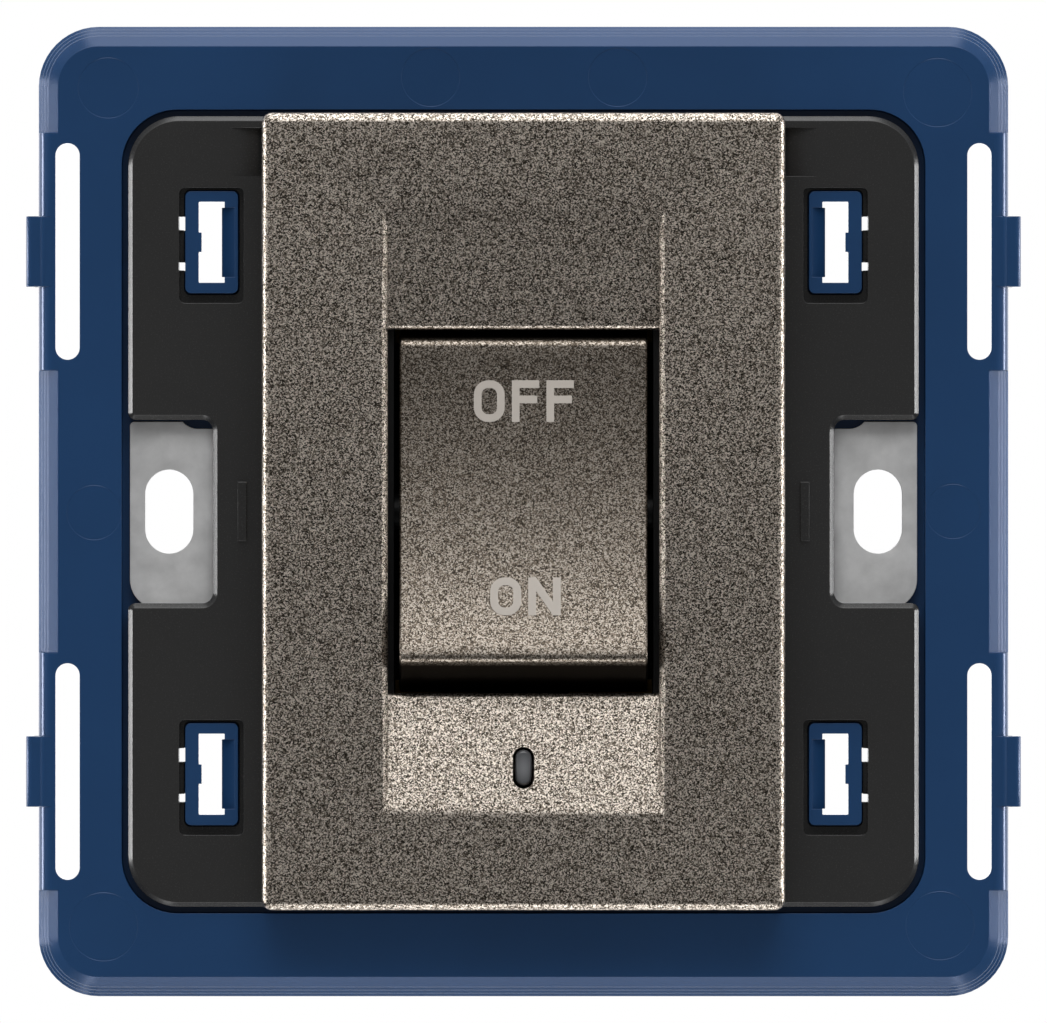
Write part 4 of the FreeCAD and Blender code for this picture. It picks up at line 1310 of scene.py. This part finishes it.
@dataclass(frozen=True)
class Panel:
    """One white panel of the surround.

    It starts where the direction's share along its own side passes start, and glows fully from full on.
    One with less than no glow is a black flag in front of the others.
    """

    start: float
    full: float
    glow: float


@dataclass
class Studio:
    """Camera, floor and soft light.

    The strips and the flag lean back a little, so that they stand just behind the switch. Edges broken at
    45 degrees show them, and the flatter slopes of the ring don't.
    """

    distance: float = 1.5
    shown_width_mm: float = 89.2
    sensor_mm: float = 36.0
    aim: Point = (0.0, 0.0, 0.0)
    floor_drop_mm: float = 300.0
    floor_radius_mm: float = 420.0
    floor_sides: int = 96
    floor_colour: str = "#e8e8e6"
    floor_roughness: float = 0.9
    front_glow: float = 0.20
    top_panels: tuple = (Panel(0.28, 0.75, 1.7), Panel(0.93, 0.985, 1.2))
    side_panels: tuple = (Panel(0.50, 0.97, 0.4),)
    low_panels: tuple = (Panel(0.70, 0.97, 3.0), Panel(0.90, 0.98, 1.5))
    top_strip: Panel = Panel(0.988, 1.0, 1.2)
    side_strip: Panel = Panel(0.990, 0.9995, 24.0)
    low_flag: Panel = Panel(0.965, 0.99, -4.6)
    lean: float = 0.06
    corner_reach: tuple[float, float] = (0.12, 0.42)
    corner_dip: float = 0.7
    back_reach: tuple[float, float] = (0.1, 0.6)
    back_glow: float = 2.2
    paper: str = "#ffffff"
    softbox_place: Point = (0.0, -0.50, 0.48)
    softbox_size: tuple[float, float] = (0.5, 0.3)
    softbox_watts: float = 1.0

    def camera(self) -> None:
        """Put the camera straight in front, far off, as the photograph was taken."""
        data = bpy.data.cameras.new("camera")
        data.sensor_width = self.sensor_mm
        data.lens = self.sensor_mm * self.distance / (self.shown_width_mm * MM)
        data.clip_end = 10 * self.distance
        camera = bpy.data.objects.new("camera", data)
        camera.location = Vector(self.aim) - self.distance * Vector(Axis.INWARD.value)
        camera.rotation_euler = (math.radians(90), 0.0, 0.0)
        bpy.context.scene.collection.objects.link(camera)
        bpy.context.scene.camera = camera

    def floor(self) -> None:
        """Lay a round pale floor under the switch, which the glossy pieces don't mirror."""
        deselect_all()
        bpy.ops.mesh.primitive_circle_add(vertices=self.floor_sides, radius=self.floor_radius_mm * MM,
                                          fill_type="NGON", location=(0.0, 0.0, -self.floor_drop_mm * MM))
        floor = bpy.context.object
        floor.name = "studio_floor"
        material, tree = new_material("pale paper floor")
        surface(tree, {"Base Color": linear(self.floor_colour), "Roughness": self.floor_roughness})
        floor.data.materials.append(material)
        floor.visible_glossy = False

    def panel_glow(self, tree: bpy.types.NodeTree, way: bpy.types.Node) -> bpy.types.NodeSocket:
        """Add up what the panels give in a direction.

        Args:
            tree: the world's node tree.
            way: the node whose outputs X, Y and Z are the direction.

        Returns:
            The glow, with the corners between the panels dimmed.
        """
        ahead, up = way.outputs["Y"], way.outputs["Z"]
        across = reckon(tree, "ABSOLUTE", way.outputs["X"])
        down = reckon(tree, "MULTIPLY", up, -1.0)
        up_back, across_back, down_back = (
            reckon(tree, "MULTIPLY_ADD", ahead, self.lean, reach) for reach in (up, across, down))
        total = self.front_glow
        for reach, panels in ((up, self.top_panels), (across, self.side_panels), (down, self.low_panels),
                              (up_back, (self.top_strip,)), (across_back, (self.side_strip,)),
                              (down_back, (self.low_flag,))):
            for panel in panels:
                lit = add_node(tree, "ShaderNodeMapRange",
                               {"Value": reach, "From Min": panel.start, "From Max": panel.full,
                                "To Min": 0.0, "To Max": panel.glow}, interpolation_type="SMOOTHSTEP")
                total = reckon(tree, "ADD", total, lit.outputs["Result"])
        corner = reckon(tree, "ABSOLUTE", reckon(tree, "MULTIPLY", across, up))
        start, full = self.corner_reach
        dip = add_node(tree, "ShaderNodeMapRange",
                       {"Value": corner, "From Min": start, "From Max": full, "To Min": 1.0,
                        "To Max": 1.0 - self.corner_dip}, interpolation_type="SMOOTHSTEP")
        return reckon(tree, "MULTIPLY", total, dip.outputs["Result"])

    def sky(self) -> None:
        """Surround the switch with white panels above, beside, below and behind it, and show plain paper."""
        world = bpy.data.worlds.new("white surround")
        bpy.context.scene.world = world
        world.use_nodes = True
        tree = world.node_tree
        tree.nodes.clear()
        way = add_node(tree, "ShaderNodeSeparateXYZ",
                       {"Vector": add_node(tree, "ShaderNodeTexCoord").outputs["Generated"]})
        start, full = self.back_reach
        around = add_node(tree, "ShaderNodeMapRange",
                          {"Value": way.outputs["Y"], "From Min": start, "From Max": full,
                           "To Min": self.panel_glow(tree, way), "To Max": self.back_glow})
        glow = add_node(tree, "ShaderNodeBackground",
                        {"Color": linear(self.paper), "Strength": around.outputs["Result"]})
        seen = add_node(tree, "ShaderNodeBackground", {"Color": linear(self.paper), "Strength": 1.0})
        camera = add_node(tree, "ShaderNodeLightPath").outputs["Is Camera Ray"]
        mix = add_node(tree, "ShaderNodeMixShader", {0: camera, 1: glow.outputs[0], 2: seen.outputs[0]})
        add_node(tree, "ShaderNodeOutputWorld", {"Surface": mix.outputs[0]})

    def softbox(self) -> None:
        """Hang one soft light above and in front, which points at the switch."""
        data = bpy.data.lights.new("top softbox", "AREA")
        data.shape = "RECTANGLE"
        data.size, data.size_y = self.softbox_size
        data.energy = self.softbox_watts
        light = bpy.data.objects.new("top softbox", data)
        light.location = self.softbox_place
        towards = Vector(self.aim) - Vector(self.softbox_place)
        light.rotation_euler = towards.to_track_quat("-Z", "Y").to_euler()
        bpy.context.scene.collection.objects.link(light)

    def build(self) -> None:
        """Set up the camera, the floor and the lights."""
        self.camera()
        self.floor()
        self.sky()
        self.softbox()
        bpy.context.scene.view_settings.view_transform = "Standard"


def main() -> None:
    """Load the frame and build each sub-assembly in order."""
    logging.basicConfig(level=logging.INFO, format="%(message)s")
    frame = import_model()
    joints = {joint["name"]: joint for joint in frame["joints"]}
    pivot = Vector(joints["rocker_pivot"]["pos_m"]) / MM
    Studio().build()
    Bezel().build()
    key = Key()
    key.build(pivot)
    Lettering().build(key, pivot)
    Lens().build()
    for moulding in mouldings():
        moulding.build()
    InnerPieces().build(frame["nodes"])
    deselect_all()


if __name__ == "__main__":
    main()
